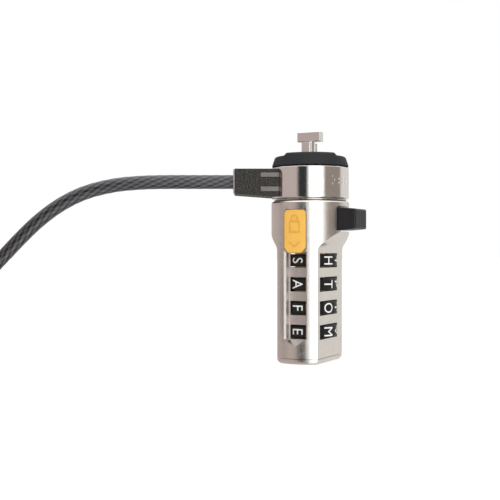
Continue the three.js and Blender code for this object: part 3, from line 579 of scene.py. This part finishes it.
def fit(name, mesh, finish, body, slot, *stands_for, turn=body_turn):
    """Shades a worked-out shape smoothly round its edges and puts it in its place on the lock."""
    mesh.name = name
    mesh.transform(turn)
    mesh.transform(Matrix.Scale(MM, 4))
    mesh.polygons.foreach_set("use_smooth", [True] * len(mesh.polygons))
    mesh.set_sharp_from_angle(angle=math.radians(32))
    made = show(name, mesh, finish, body, slot, *stands_for)
    weigh = made.modifiers.new("face_weighted", "WEIGHTED_NORMAL")
    weigh.keep_sharp = True
    return made


# ---- housing -----------------------------------------------------------------------------------------------
# The lock body: one zinc die-casting, satin nickel plated. Two long flats run out into the round top, four
# slots go through it for the dials, and a channel with a V foot frames the letters at the front.
housing_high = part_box("housing")[1].z / MM
body_r = 11.0
dial_heights = [sum(corner.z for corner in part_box(f"letter_dial_{i}")) / 2 / MM for i in (1, 2, 3, 4)]
slot_half = 2.0
slot_y = 7.6
slot_back_y = 5.13
flat_x = 6.1
top_slot = dial_heights[0] + slot_half
low_slot = dial_heights[3] - slot_half
rotor_floor, rotor_r = top_slot + 6.1, 9.2
lever_slot_top = rotor_floor + 6.8
tab_foot, tab_head = top_slot + 0.2, top_slot + 11.9
tab_half = 3.2
channel_half, channel_y = 2.95, slot_y + 0.3
window_half = 2.65
line_half, line_deep = 0.13, 0.18 # the reading line scored down the channel
hub_bore, spindle_bore = 4.6, 1.9
detent_half, detent_back = 1.8, 9.05
change_screw_y, change_bore = -6.4, 1.3
base_screw_x, base_screw_y, base_screw_bore, base_screw_top = 3.6, 7.5, 1.0, 4.9
far = 60.0

satin = Finish("satin_nickel", metallic=1.0)
blast = satin.noise(5200, 4, 0.65)
cloud = satin.noise(260, 2)
satin.set(base_color=satin.blend(cloud, (0.80, 0.765, 0.725), (0.87, 0.84, 0.80)),
          roughness=0.17 + blast * 0.14 + cloud * 0.03,
          normal=satin.bump(blast, 0.00003))
# The channel's nickel is rougher than the body's, and its base colour is darker: painted shade in the
# recessed channel.
coarse_shaded = Finish("coarse_nickel_painted_shade", metallic=1.0)
coarse_grain = coarse_shaded.noise(3600, 4, 0.65)
coarse_shaded.set(base_color=coarse_shaded.blend(coarse_grain, (0.66, 0.61, 0.58), (0.82, 0.78, 0.75)),
           roughness=0.42 + coarse_grain * 0.2, normal=coarse_shaded.bump(coarse_grain, 0.00004))


def run_out(side, z0):
    """What a flat and its curved run-out take off the round body."""
    bend = top_slot + 1.6
    blend_r = 2.5
    reach = body_r + 1
    start = blend_r * math.tan(math.pi / 8)
    curve = arc(flat_x + blend_r, bend - start, blend_r, 180, 135, 10)
    outline = [(flat_x, z0), (reach, z0), (reach, bend + reach - flat_x), *reversed(curve)]
    return slab([(side * x, z) for x, z in outline], -far, far)


def tab_outline(grow):
    half, low, high = tab_half + grow, tab_foot - grow, tab_head + grow
    r = 1.0 + grow
    return [(-half + 1.3, low), (half - 1.3, low), (half, low + 1.3), *arc(half - r, high - r, r, 0, 90, 8),
            *arc(-half + r, high - r, r, 90, 180, 8), (-half, low + 1.3)]


channel_foot = low_slot + 0.1
lip_y = -9.9
lead = 4.7
cuts = [run_out(1, -1), run_out(-1, -1)]
for z in dial_heights:
    cuts += [block(-far, far, -slot_y, slot_back_y, z - slot_half, z + slot_half),
             rod(slot_y, z - slot_half, z + slot_half, sides=96),
             block(-window_half, window_half, -channel_y - 1, -3, z - slot_half, z + slot_half)]
cuts += [
    slab([(0, channel_foot - 2.1), (channel_half, channel_foot), (channel_half, tab_foot + 0.3),
          (-channel_half, tab_foot + 0.3), (-channel_half, channel_foot)], -far, -channel_y),
    prism([(-channel_half, lip_y), (-channel_half - 1, lip_y - 1), (channel_half + 1, lip_y - 1),
           (channel_half, lip_y)], channel_foot, tab_foot + 0.3),
    carve(slab(tab_outline(0.25), -far, 0), cuts=[rod(body_r - 1.2, 0, far, sides=144)], edge=0),
    rod(hub_bore, 0, dial_heights[0] + 3.6),
    rod(spindle_bore, 0, housing_high),
    rod(rotor_r, rotor_floor, far, sides=96),
    block(-lead, far, -lead, far, rotor_floor, lever_slot_top),
    block(-detent_half, detent_half, slot_y - 1, detent_back, 0, top_slot + 0.9),
    block(-line_half, line_half, -far, -channel_y + line_deep, channel_foot - 1.2, tab_foot),
    rod(change_bore, 0, low_slot - 1.2, at=(0, change_screw_y)),
    rod(base_screw_bore, 0, base_screw_top, at=(base_screw_x, base_screw_y)),
    rod(base_screw_bore, 0, base_screw_top, at=(-base_screw_x, -base_screw_y)),
]
cap_plate, seam, top_round = 1.5, 0.12, 0.7
blank = turned([(0, cap_plate + seam), (body_r, cap_plate + seam),
                *arc(body_r - top_round, housing_high - top_round, top_round, 0, 90, 6),
                (0, housing_high)], 180)
housing_mesh = carve(blank, cuts=cuts, edge=0.13)
in_channel = [abs(c.x) < channel_half + 0.02 and lip_y < c.y < -slot_y and channel_foot - 2.2 < c.z < tab_foot
              for c in (face.center for face in housing_mesh.polygons)]
housing_made = fit("plated_housing", housing_mesh, satin, "lock_body", "nickel", "housing")
# the faces in the channel take the rougher nickel with its darker base colour of painted shade
housing_made.data.materials.append(coarse_shaded.material)
housing_made.data.polygons.foreach_set("material_index", [int(inside) for inside in in_channel])

# ---- end cap -----------------------------------------------------------------------------------------------
# The foot of the lock: a plated plate of the body's own outline with a rounded lower edge, held by two small
# countersunk screws, with the brass code-change screw let into it near the front.
cap_edge = 1.4
cap = turned([(0, 0), (body_r - cap_edge, 0), *arc(body_r - cap_edge, cap_edge, cap_edge, 270, 360, 8)[1:],
              (body_r, cap_plate), (0, cap_plate)], 180)
flat_edges = []
for side in (-1, 1):
    foot = [(x * side, z) for x, z in arc(flat_x - cap_edge, cap_edge, cap_edge, 270, 360, 8)]
    flat_edges.append(slab([(side * (flat_x - cap_edge), -1), *foot, (side * flat_x, far), (side * far, far),
                            (side * far, -1)], -far, far))
change_head_hole, base_head_hole, base_head_deep = 1.9, 1.45, 0.6
holes = [rod(change_head_hole, -1, 3, at=(0, change_screw_y))]
for side in (-1, 1):
    spot = (side * base_screw_x, side * base_screw_y)
    holes += [rod(base_screw_bore, -1, 3, at=spot), rod(base_head_hole, -1, base_head_deep, at=spot)]
spigot_in, spigot_out, spigot_low, spigot_high = 3.1, 4.3, 1.0, 2.7
spigot = turned([(spigot_in, spigot_low), (spigot_out, spigot_low), (spigot_out, spigot_high),
                 (spigot_in, spigot_high)], 72)
cap = carve(cap, joins=[spigot], cuts=[*flat_edges, *holes], edge=0.08)
fit("plated_end_cap", cap, satin, "lock_body", "nickel", "end_cap")

# ---- screws, pins and plates -------------------------------------------------------------------------------
# Turned steel, brass and blued spring wire, mostly out of sight: fine circular tool marks on the steel, and a
# slight brown tarnish on the brass.
bright_steel = Finish("turned_steel", metallic=1.0)
tool_marks = bright_steel.add("ShaderNodeTexWave", {"wave_type": "RINGS", "rings_direction": "Z"},
                              {"Vector": bright_steel.place(), "Scale": 2600, "Distortion": 1.5})
bright_steel.set(base_color=bright_steel.blend(bright_steel.noise(700), (0.5, 0.49, 0.47), (0.62, 0.6, 0.58)),
                 roughness=0.24 + tool_marks * 0.1, normal=bright_steel.bump(tool_marks, 0.000008))
blued_steel = Finish("blued_spring_steel", metallic=1.0)
blued_steel.set(base_color=blued_steel.blend(blued_steel.noise(900, 3), (0.16, 0.17, 0.2), (0.3, 0.29, 0.3)),
                roughness=0.28 + blued_steel.noise(1500) * 0.12)
turned_brass = Finish("turned_brass", metallic=1.0)
tarnished, clean_brass = (0.56, 0.38, 0.16), (0.72, 0.54, 0.27)
turned_brass.set(base_color=turned_brass.blend(turned_brass.noise(800, 3), tarnished, clean_brass),
                 roughness=0.26 + turned_brass.noise(1800) * 0.14)
raw_zinc = Finish("raw_zinc", metallic=0.9)
raw_zinc.set(base_color=raw_zinc.blend(raw_zinc.noise(1200, 3), (0.2, 0.2, 0.19), (0.34, 0.33, 0.31)),
             roughness=0.5 + raw_zinc.noise(2200) * 0.2,
             normal=raw_zinc.bump(raw_zinc.noise(2600, 3), 0.00004))

# ---- reference tab -----------------------------------------------------------------------------------------
# A yellow moulded tab pressed into a pocket above the letters. It points at the reading line, and has a small
# raised padlock outline and an arrowhead on it.


def wrapped(mesh, across, radius, place, step=0.35):
    """Slices a flat shape finely along one of its axes and wraps it: place(point) gives its angle, how far
    out it is and its height."""
    work = bmesh.new()
    work.from_mesh(mesh)
    reach = [v.co[across] for v in work.verts]
    cut = min(reach) + step
    normal = Vector([1.0 if k == across else 0.0 for k in range(3)])
    while cut < max(reach):
        bmesh.ops.bisect_plane(work, geom=[*work.verts, *work.edges, *work.faces], plane_co=normal * cut,
                               plane_no=normal, dist=1e-5)
        cut += step
    for v in work.verts:
        angle, out, height = place(v.co)
        v.co = (out * math.sin(angle), -out * math.cos(angle), height)
    return mesh_of(work)


moulded_yellow = Finish("moulded_yellow", roughness=0.42, specular_ior_level=0.5)
moulded_yellow.set(base_color=moulded_yellow.blend(moulded_yellow.noise(500, 3), (0.74, 0.41, 0.065),
                                                   (0.80, 0.46, 0.085)),
                   normal=moulded_yellow.bump(moulded_yellow.noise(3800, 2), 0.00001))
# The raised padlock outline and arrowhead take a deeper orange than the tab: painted shade along the moulded
# lines.
mark_painted_shade = Finish("mark_painted_shade", roughness=0.45)
mark_painted_shade.set(base_color=mark_painted_shade.blend(mark_painted_shade.noise(500, 3), (0.62, 0.31, 0.04),
                                             (0.68, 0.35, 0.055)))
tab_proud, tab_thick = 0.15, 0.9
tab_face = body_r + tab_proud


def raised_line(points, wide, closed=False):
    """A raised moulded line along flat points, as one slab per stretch joined at round corners."""
    solids = []
    stretches = list(zip(points, points[1:])) + ([(points[-1], points[0])] if closed else [])
    for (x0, z0), (x1, z1) in stretches:
        along = Vector((x1 - x0, z1 - z0))
        angle = math.atan2(along.y, along.x)
        bar = [*arc(along.length, 0, wide / 2, -90, 90, 6), *arc(0, 0, wide / 2, 90, 270, 6)]
        across, up = math.cos(angle), math.sin(angle)
        spun = [(x0 + x * across - z * up, z0 + x * up + z * across) for x, z in bar]
        solids.append(slab(spun, -0.12, 0.3))
    return solids


tab_blank = slab(tab_outline(0), 0, tab_thick + tab_proud)
mark_foot, mark_half, mark_tall = tab_head - 6.1, 1.4, 2.9
shackle_r, shackle_z, mark_wide = 0.95, mark_foot + 3.7, 0.26
mark = [
    *raised_line([(-mark_half, mark_foot), (mark_half, mark_foot), (mark_half, mark_foot + mark_tall),
                  (-mark_half, mark_foot + mark_tall)], mark_wide, closed=True),
    *raised_line([(-shackle_r, mark_foot + mark_tall), (-shackle_r, shackle_z),
                  *reversed(arc(0, shackle_z, shackle_r, 0, 180, 8)), (shackle_r, mark_foot + mark_tall)],
                 mark_wide),
    *raised_line([(-1.5, tab_foot + 2.9), (0, tab_foot + 1.6), (1.5, tab_foot + 2.9)], 0.22),
]
tab_flat = carve(tab_blank, joins=mark, edge=0.1, rounds=3)
tab = wrapped(tab_flat, 0, body_r, lambda p: (p.x / body_r, tab_face - p.y, p.z))
mark_faces = [math.hypot(*face.center.xy) > tab_face + 0.03 for face in tab.polygons]
tab_made = fit("moulded_reference_tab", tab, moulded_yellow, "lock_body", "yellow_plastic", "reference_tab")
# the raised mark's faces get the deeper orange of painted shade
tab_made.data.materials.append(mark_painted_shade.material)
tab_made.data.polygons.foreach_set("material_index", [int(raised) for raised in mark_faces])

# ---- letter dials ------------------------------------------------------------------------------------------
# Four black moulded dials with ten printed letters each. Shallow grip grooves run between the letters, and
# the bore has a keyway for the clutch hub.
dial_r, dial_half, dial_bore, dial_edge = 7.45, 1.7, 4.6, 0.35
letters_round = ("SLHYDPNCGR", "ABTPKMOUVE", "FROTAPLBNS", "EGMVHDSKIU")
letter_tall = 3.15
first_letter, letter_step = math.radians(-5.2), math.radians(36)
dial_black = Finish("dial_black", roughness=0.5, specular_ior_level=0.25)
dial_grain = dial_black.noise(3200, 3)
dial_black.set(base_color=dial_black.blend(dial_grain, (0.008, 0.008, 0.008), (0.018, 0.018, 0.019)),
               normal=dial_black.bump(dial_grain, 0.00001))
print_white = Finish("letter_print", roughness=0.55)
print_white.set(base_color=print_white.blend(print_white.noise(1600, 4), (0.74, 0.74, 0.73),
                                             (0.86, 0.86, 0.85)))


def letter_solid(letter):
    """A printed letter, thin and upright: its width along X, its height along Y."""
    curve = bpy.data.curves.new(letter, "FONT")
    curve.body = letter
    curve.size = 1.0
    curve.resolution_u = 6
    curve.extrude = 0.02
    text = bpy.data.objects.new(letter, curve)
    bpy.context.scene.collection.objects.link(text)
    bpy.context.view_layer.update()
    mesh = bpy.data.meshes.new_from_object(text.evaluated_get(bpy.context.evaluated_depsgraph_get()))
    bpy.data.objects.remove(text)
    points = [v.co for v in mesh.vertices]
    low = Vector([min(p[k] for p in points) for k in range(3)])
    high = Vector([max(p[k] for p in points) for k in range(3)])
    middle, size = (low + high) / 2, high - low
    wide = min(letter_tall * 0.86 * size.x / size.y, 2.75)
    for v in mesh.vertices:
        v.co = ((v.co.x - middle.x) / size.x * wide, (v.co.y - middle.y) / size.y * letter_tall,
                (v.co.z - middle.z) / size.z)
    return mesh


def letter_dial(number, letters):
    z = dial_heights[number - 1]
    sides = 300
    groove, groove_half = 0.22, math.radians(1.3)
    profile = [(dial_bore, -dial_half), (dial_r - dial_edge, -dial_half), (dial_r, -dial_half + dial_edge),
               (dial_r, dial_half - dial_edge), (dial_r - dial_edge, dial_half), (dial_bore, dial_half)]
    drum = turned([(r, z + h) for r, h in profile], sides)
    for v in drum.vertices:
        flat = math.hypot(v.co.x, v.co.y)
        if flat < 5:
            continue
        angle = math.atan2(v.co.x, -v.co.y) - first_letter
        off = abs((angle / letter_step) % 1 - 0.5) * letter_step
        depth = groove * max(0.0, 1 - off / groove_half)
        v.co.x *= 1 - depth / flat
        v.co.y *= 1 - depth / flat
    keyway = block(-0.9, 0.9, 2, 5.2, z - 3, z + 3)
    drum = carve(drum, cuts=[keyway], edge=0)
    made = bmesh.new()
    made.from_mesh(drum)
    for k, letter in enumerate(letters):
        middle = first_letter + letter_step * k

        def place(p):
            return middle + p.y / dial_r, dial_r + 0.012 + 0.03 * p.z, z - p.x

        printed = wrapped(letter_solid(letter), 1, dial_r, place, 0.3)
        before = len(made.faces)
        made.from_mesh(printed)
        made.faces.ensure_lookup_table()
        for face in made.faces[before:]:
            face.material_index = 1
    mesh = bpy.data.meshes.new("dial")
    made.to_mesh(mesh)
    made.free()
    return mesh


for number, letters in enumerate(letters_round, 1):
    dial = fit(f"printed_dial_{number}", letter_dial(number, letters), dial_black, f"dial_{number}",
               "black_plastic", f"letter_dial_{number}")
    dial.data.materials.append(print_white.material)

# ---- thumb lever -------------------------------------------------------------------------------------------
# The black moulded lever that locks and unlocks. It is a little taller at its root, has thumb ribs on its
# end, and a tenon that is pinned into the rotor inside the body.
lever_low, lever_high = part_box("thumb_lever")
lever_z = (lever_low.z + lever_high.z) / 2 / MM
lever_tip, lever_half = body_r + 4.4, 4.4
root_half, tip_half, lever_edge = 3.1, 2.8, 0.7
edge_x = lever_tip - lever_edge
lever_side = [(0, -root_half), (body_r, -root_half),
              *arc(edge_x, lever_edge - tip_half, lever_edge, 270, 360, 6),
              *arc(edge_x, tip_half - lever_edge, lever_edge, 0, 90, 6), (body_r, root_half), (0, root_half)]
paddle = slab([(x, z + lever_z) for x, z in lever_side], -lever_half, lever_half)
plan = prism([*arc(edge_x, lever_half - lever_edge, lever_edge, 0, 90, 6), (0, lever_half), (0, -lever_half),
              *arc(edge_x, lever_edge - lever_half, lever_edge, 270, 360, 6)], 0, far)
tenon = block(rotor_r - 4.8, rotor_r + 1, -2.1, 2.1, lever_z - 1.65, lever_z + 1.65)
rib_foot, rib_head = lever_z - 2.2, lever_z + 2.2
ribs = [rod(0.22, rib_foot, rib_head, at=(lever_tip + 0.02, y), sides=16) for y in (-2.8, -1.4, 0, 1.4, 2.8)]
for side in (-1, 1):
    ribs += [rod(0.2, rib_foot, rib_head, at=(lever_tip - x, side * (lever_half + 0.04)), sides=16)
             for x in (0.9, 1.7, 2.5)]
lever = carve(paddle, cuts=[rod(rotor_r, 0, far, sides=96), *ribs], within=[plan], edge=0)
lever = carve(lever, joins=[tenon], cuts=[rod(0.8, 0, far, at=(6.65, 0), sides=24)], edge=0.1)
lever_black = Finish("lever_black", roughness=0.42, specular_ior_level=0.3)
lever_grain = lever_black.noise(4200, 3)
lever_black.set(base_color=lever_black.blend(lever_grain, (0.010, 0.010, 0.011), (0.020, 0.020, 0.022)),
                normal=lever_black.bump(lever_grain, 0.000012))
fit("moulded_thumb_lever", lever, lever_black, "lever", "black_plastic", "thumb_lever")

# ---- T-bar and guard pins ----------------------------------------------------------------------------------
# What goes into the computer's slot: a plated steel bar on a round shaft that turns, between two fixed guard
# pins that fill the rest of the slot. The shaft runs down into the rotor, where a cross pin holds it.
head_low, head_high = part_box("t_bar")
head_top = head_high.z / MM
head_tall, head_half_long, head_half_wide = 2.8, 3.45, 1.4
head_z = head_top - head_tall
stem_r, stem_room = 1.3, 0.3
plated = Finish("bright_plate", metallic=1.0)
plated.set(base_color=plated.blend(plated.noise(600), (0.80, 0.77, 0.75), (0.87, 0.85, 0.83)),
           roughness=0.12 + plated.noise(2600, 3) * 0.12, normal=plated.bump(plated.noise(3000, 3), 0.000006))
bar = carve(block(-head_half_long, head_half_long, -head_half_wide, head_half_wide, head_z, head_top),
            edge=0.22, rounds=3)
pin_hole = on_side(rod(0.6, -9, 9, sides=20), "Y")
pin_hole.transform(Matrix.Translation((0, 0, lever_z)))
t_bar = carve(bar, joins=[rod(stem_r, head_low.z / MM, head_z + 1)], cuts=[pin_hole], edge=0)
fit("slot_t_bar", t_bar, plated, "lever", "chrome", "t_bar")

guard_half, guard_front, guard_rear, guard_corner = 1.3, 3.4, 3.1, 0.3
guard_low, guard_high = (corner.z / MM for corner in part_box("guard_pin_front"))


def guard_outline(side, grow):
    """The front pin has a square end with small corners, the rear one a half round."""
    half = guard_half + grow
    inner = stem_r + stem_room - grow
    outer = (guard_front if side < 0 else guard_rear) + grow
    corner = guard_corner + grow if side < 0 else half
    end = arc(half - corner, outer - corner, corner, 0, 90, 6)
    far_end = [(-x, y) for x, y in reversed(end)]
    points = [(half, inner), *end, *(far_end if side < 0 else far_end[1:]), (-half, inner)]
    return [(x * side, y * side) for x, y in points]


for name, side in (("front", -1), ("rear", 1)):
    pin = carve(prism(guard_outline(side, 0), guard_low, guard_high), edge=0.12, sharp=50)
    fit(f"slot_guard_{name}", pin, plated, "lock_body", "nickel", f"guard_pin_{name}")

# ---- swivel collar -----------------------------------------------------------------------------------------
# The cable's collar, a bright plated casting that turns freely on the neck. Its arm has dark as-cast faces
# with two plain ribs where it meets the ring, and a bore for the end of the rope.
collar_low, collar_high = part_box("swivel_collar")
ring_z0, ring_z1 = collar_low.z / MM, collar_high.z / MM
ring_r, neck_r = 10.9, 7.2
arm_tip, arm_half = collar_low.x / MM, 6.0
arm_top, arm_foot = ring_z1 - 0.55, ring_z0 + 0.5
arm_rise = 0.8
cable_z = run[0][2]
panel_in = 0.22
rib_end = -14.1
ring_edge = 0.35

mirror = Finish("bright_collar", metallic=1.0)
ripple = mirror.noise(420, 2)
mirror_grain = mirror.noise(3400, 4, 0.6)
mirror.set(base_color=mirror.blend(ripple, (0.83, 0.80, 0.78), (0.90, 0.88, 0.86)),
           roughness=0.05 + mirror_grain * 0.12, normal=mirror.bump(ripple + mirror_grain * 0.25, 0.00002))
as_cast = Finish("as_cast_face", metallic=0.85)
pits = as_cast.noise(1500, 4, 0.7)
specks = as_cast.steps(as_cast.noise(2600, 3, 0.65), 0.42, 0.72)
as_cast.set(base_color=as_cast.blend(specks, (0.035, 0.034, 0.031), (0.115, 0.108, 0.10)),
            roughness=0.42 + pits * 0.3, normal=as_cast.bump(pits, 0.00009))
rib_metal = Finish("rib_metal", metallic=1.0)
rib_metal.set(base_color=rib_metal.blend(rib_metal.noise(1800, 3), (0.13, 0.12, 0.11), (0.22, 0.205, 0.19)),
              roughness=0.3 + rib_metal.noise(2600, 3) * 0.2)

ring = turned([(neck_r, ring_z0), *arc(ring_r - ring_edge, ring_z0 + ring_edge, ring_edge, 270, 360, 6),
               *arc(ring_r - ring_edge, ring_z1 - ring_edge, ring_edge, 0, 90, 6), (neck_r, ring_z1)], 240)
arm_side = [(arm_tip, arm_foot + arm_rise), (-ring_r, arm_foot), (-neck_r, arm_foot), (-neck_r, arm_top),
            (arm_tip, arm_top)]
arm = carve(slab(arm_side, -arm_half, arm_half), edge=0.35, rounds=3)
panels = []
for side in (-1, 1):
    face = side * (arm_half - panel_in)
    outline = [(arm_tip + 0.4, arm_foot + arm_rise - 1), (-8.0, arm_foot - 1), (-8.0, arm_top + 1),
               (arm_tip + 0.4, arm_top + 1)]
    ribs = [block(rib_end, -7.0, -far, far, z - half, z + half) for z, half in ((52.45, 0.6), (48.5, 0.65))]
    panels.append(carve(slab(outline, min(face, side * far), max(face, side * far)), cuts=ribs, edge=0))
bore = on_side(rod(cable_r + 0.3, arm_tip - 1, arm_tip + 7.6, sides=48), "X")
bore.transform(Matrix.Translation((0, 0, cable_z)))
pin_pocket = on_side(rod(0.9, 0, far, sides=32), "Y")
pin_pocket.transform(Matrix.Translation((arm_tip + 5.3, 0, cable_z)))
collar = carve(carve(arm, cuts=panels, edge=0), joins=[ring],
               cuts=[rod(neck_r, 0, far, sides=144), bore, pin_pocket], edge=0)

dash_marks = [ # the angle round the ring, the height, the width and how tall
    (34, 5.9, 1.1, 0.5), (36.5, 4.9, 0.7, 0.5), (34, 3.9, 1.1, 0.5), (47, 5.3, 1.4, 0.5), (47, 4.2, 1.4, 0.5),
    (58, 5.3, 1.2, 0.5), (58, 4.2, 1.2, 0.5), (69, 4.75, 1.2, 0.5),
]
dashes = []
for angle, height, wide, tall in dash_marks:
    dash = block(-wide / 2, wide / 2, -ring_r - 0.1, -ring_r + 0.4, ring_z0 + height - tall / 2,
                 ring_z0 + height + tall / 2)
    dash.transform(Matrix.Rotation(math.radians(angle), 4, "Z"))
    dashes.append(dash)
collar = carve(collar, joins=dashes, edge=0)
collar_made = fit("cast_swivel_collar", collar, mirror, "swivel", "chrome", "swivel_collar", turn=Matrix())
collar_made.data.materials.append(as_cast.material)
collar_made.data.materials.append(rib_metal.material)
for face in collar_made.data.polygons:
    x, y, z = face.center / MM
    on_panel = abs(abs(y) - (arm_half - panel_in)) < 0.03
    if arm_tip + 0.35 < x < -10.2 and (on_panel or abs(face.normal.z) > 0.5):
        face.material_index = 1
    elif rib_end - 0.1 < x < -8.6 and abs(abs(y) - arm_half) < 0.03 and ring_z0 + 1.4 < z < ring_z1 - 1.4:
        face.material_index = 2

# ---- nose bumper -------------------------------------------------------------------------------------------
# The black rubber cap that meets the computer: a flared skirt with a raised band across it, pushed over the
# retaining plate and open in the middle for the shaft and the guard pins.
bumper_low, bumper_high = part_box("nose_bumper")
nose_z0, nose_z1 = bumper_low.z / MM, bumper_high.z / MM
skirt_r, flare, nose_edge, nose_lip = 10.8, 0.6, 0.8, 0.3
shoulder = nose_z0 + 2.8
band_r = skirt_r + 0.2
rubber = Finish("nose_rubber", roughness=0.62, specular_ior_level=0.3)
rubber_grain = rubber.noise(2200, 4, 0.6)
rubber.set(base_color=rubber.blend(rubber_grain, (0.010, 0.011, 0.013), (0.026, 0.028, 0.032)),
           roughness=0.55 + rubber_grain * 0.2, normal=rubber.bump(rubber_grain, 0.00003))
skirt_top_r = skirt_r - flare - nose_edge
skirt = turned([(0, nose_z0), (skirt_r, nose_z0), (skirt_r, nose_z0 + nose_lip),
                *arc(skirt_top_r, shoulder - nose_edge, nose_edge, 10, 90, 8), (0, shoulder)], 160)
band_top_r = band_r - flare * 0.75
band_round = turned([(0, nose_z0), (band_r, nose_z0), (band_r, nose_z0 + nose_lip),
                     (band_top_r, nose_z1 - nose_edge),
                     *arc(band_top_r - nose_edge, nose_z1 - nose_edge, nose_edge, 10, 90, 6),
                     (0, nose_z1)], 160)
band_half = [(7.4, nose_z0), (7.4, shoulder - 0.3), (6.5, nose_z1)]
band_side = [*band_half, *[(-x, z) for x, z in reversed(band_half)]]
band = carve(slab(band_side, -far, far), within=[band_round], edge=0)
band_turn = Matrix.Rotation(math.radians(-3.5), 4, "Z")
slot_turn = band_turn.inverted() @ body_turn
openings = [prism(guard_outline(side, 0.3), 0, far) for side in (-1, 1)]
for opening in openings:
    opening.transform(slot_turn)
plate_pocket = rod(9.6, 0, nose_z0 + 1.7, sides=96)
bumper = carve(skirt, joins=[band], cuts=[plate_pocket, rod(stem_r + stem_room, 0, far), *openings])
fit("moulded_nose_bumper", bumper, rubber, "lock_body", "rubber", "nose_bumper", turn=band_turn)

# ---- return spring -----------------------------------------------------------------------------------------
# A coil of blued spring wire that stands on the end cap under the code spindle. It is built as one fixed
# coil, which does not close up when the turned lever drives the spindle down.
spring_low, spring_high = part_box("return_spring")
wire_r, spring_turns, turn_steps = 0.25, 3, 48
spring_r = (spring_high.x - spring_low.x) / 2 / MM - wire_r
spring_foot, spring_top = spring_low.z / MM + wire_r, spring_high.z / MM - wire_r
spring_rings = []
for step in range(spring_turns * turn_steps + 1):
    out = Vector((math.cos(2 * math.pi * step / turn_steps), math.sin(2 * math.pi * step / turn_steps), 0))
    rise = (spring_top - spring_foot) * step / (spring_turns * turn_steps)
    centre = out * spring_r + Vector((0, 0, spring_foot + rise))
    round_wire = [out * (wire_r * x) + Vector((0, 0, wire_r * y)) for x, y in arc(0, 0, 1, 0, 345, 23)]
    spring_rings.append([body_turn @ (centre + offset) * MM for offset in round_wire])
spring_mesh = loft("coiled_return_spring", spring_rings)
spring_mesh.polygons.foreach_set("use_smooth", [len(face.vertices) == 4 for face in spring_mesh.polygons])
spring = show("coiled_return_spring", spring_mesh, blued_steel, "lock_body", "spring_steel", "return_spring")
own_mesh(spring)

# ---- the pieces kept as they are ---------------------------------------------------------------------------
# Screws, springs, hubs, pins and plates keep their own solids, each with the finish of what it is made of.
finish_of_slot = {"steel": bright_steel, "spring_steel": blued_steel, "brass": turned_brass,
                  "cast_metal": raw_zinc, "nickel": satin}
for part in frame["record"]["subparts"]:
    node = frame["nodes"][part["node"]]
    if node.hide_render or part["material_slot"] not in finish_of_slot:
        continue
    for holder in node.material_slots:
        holder.link = "OBJECT"
        holder.material = finish_of_slot[part["material_slot"]].material
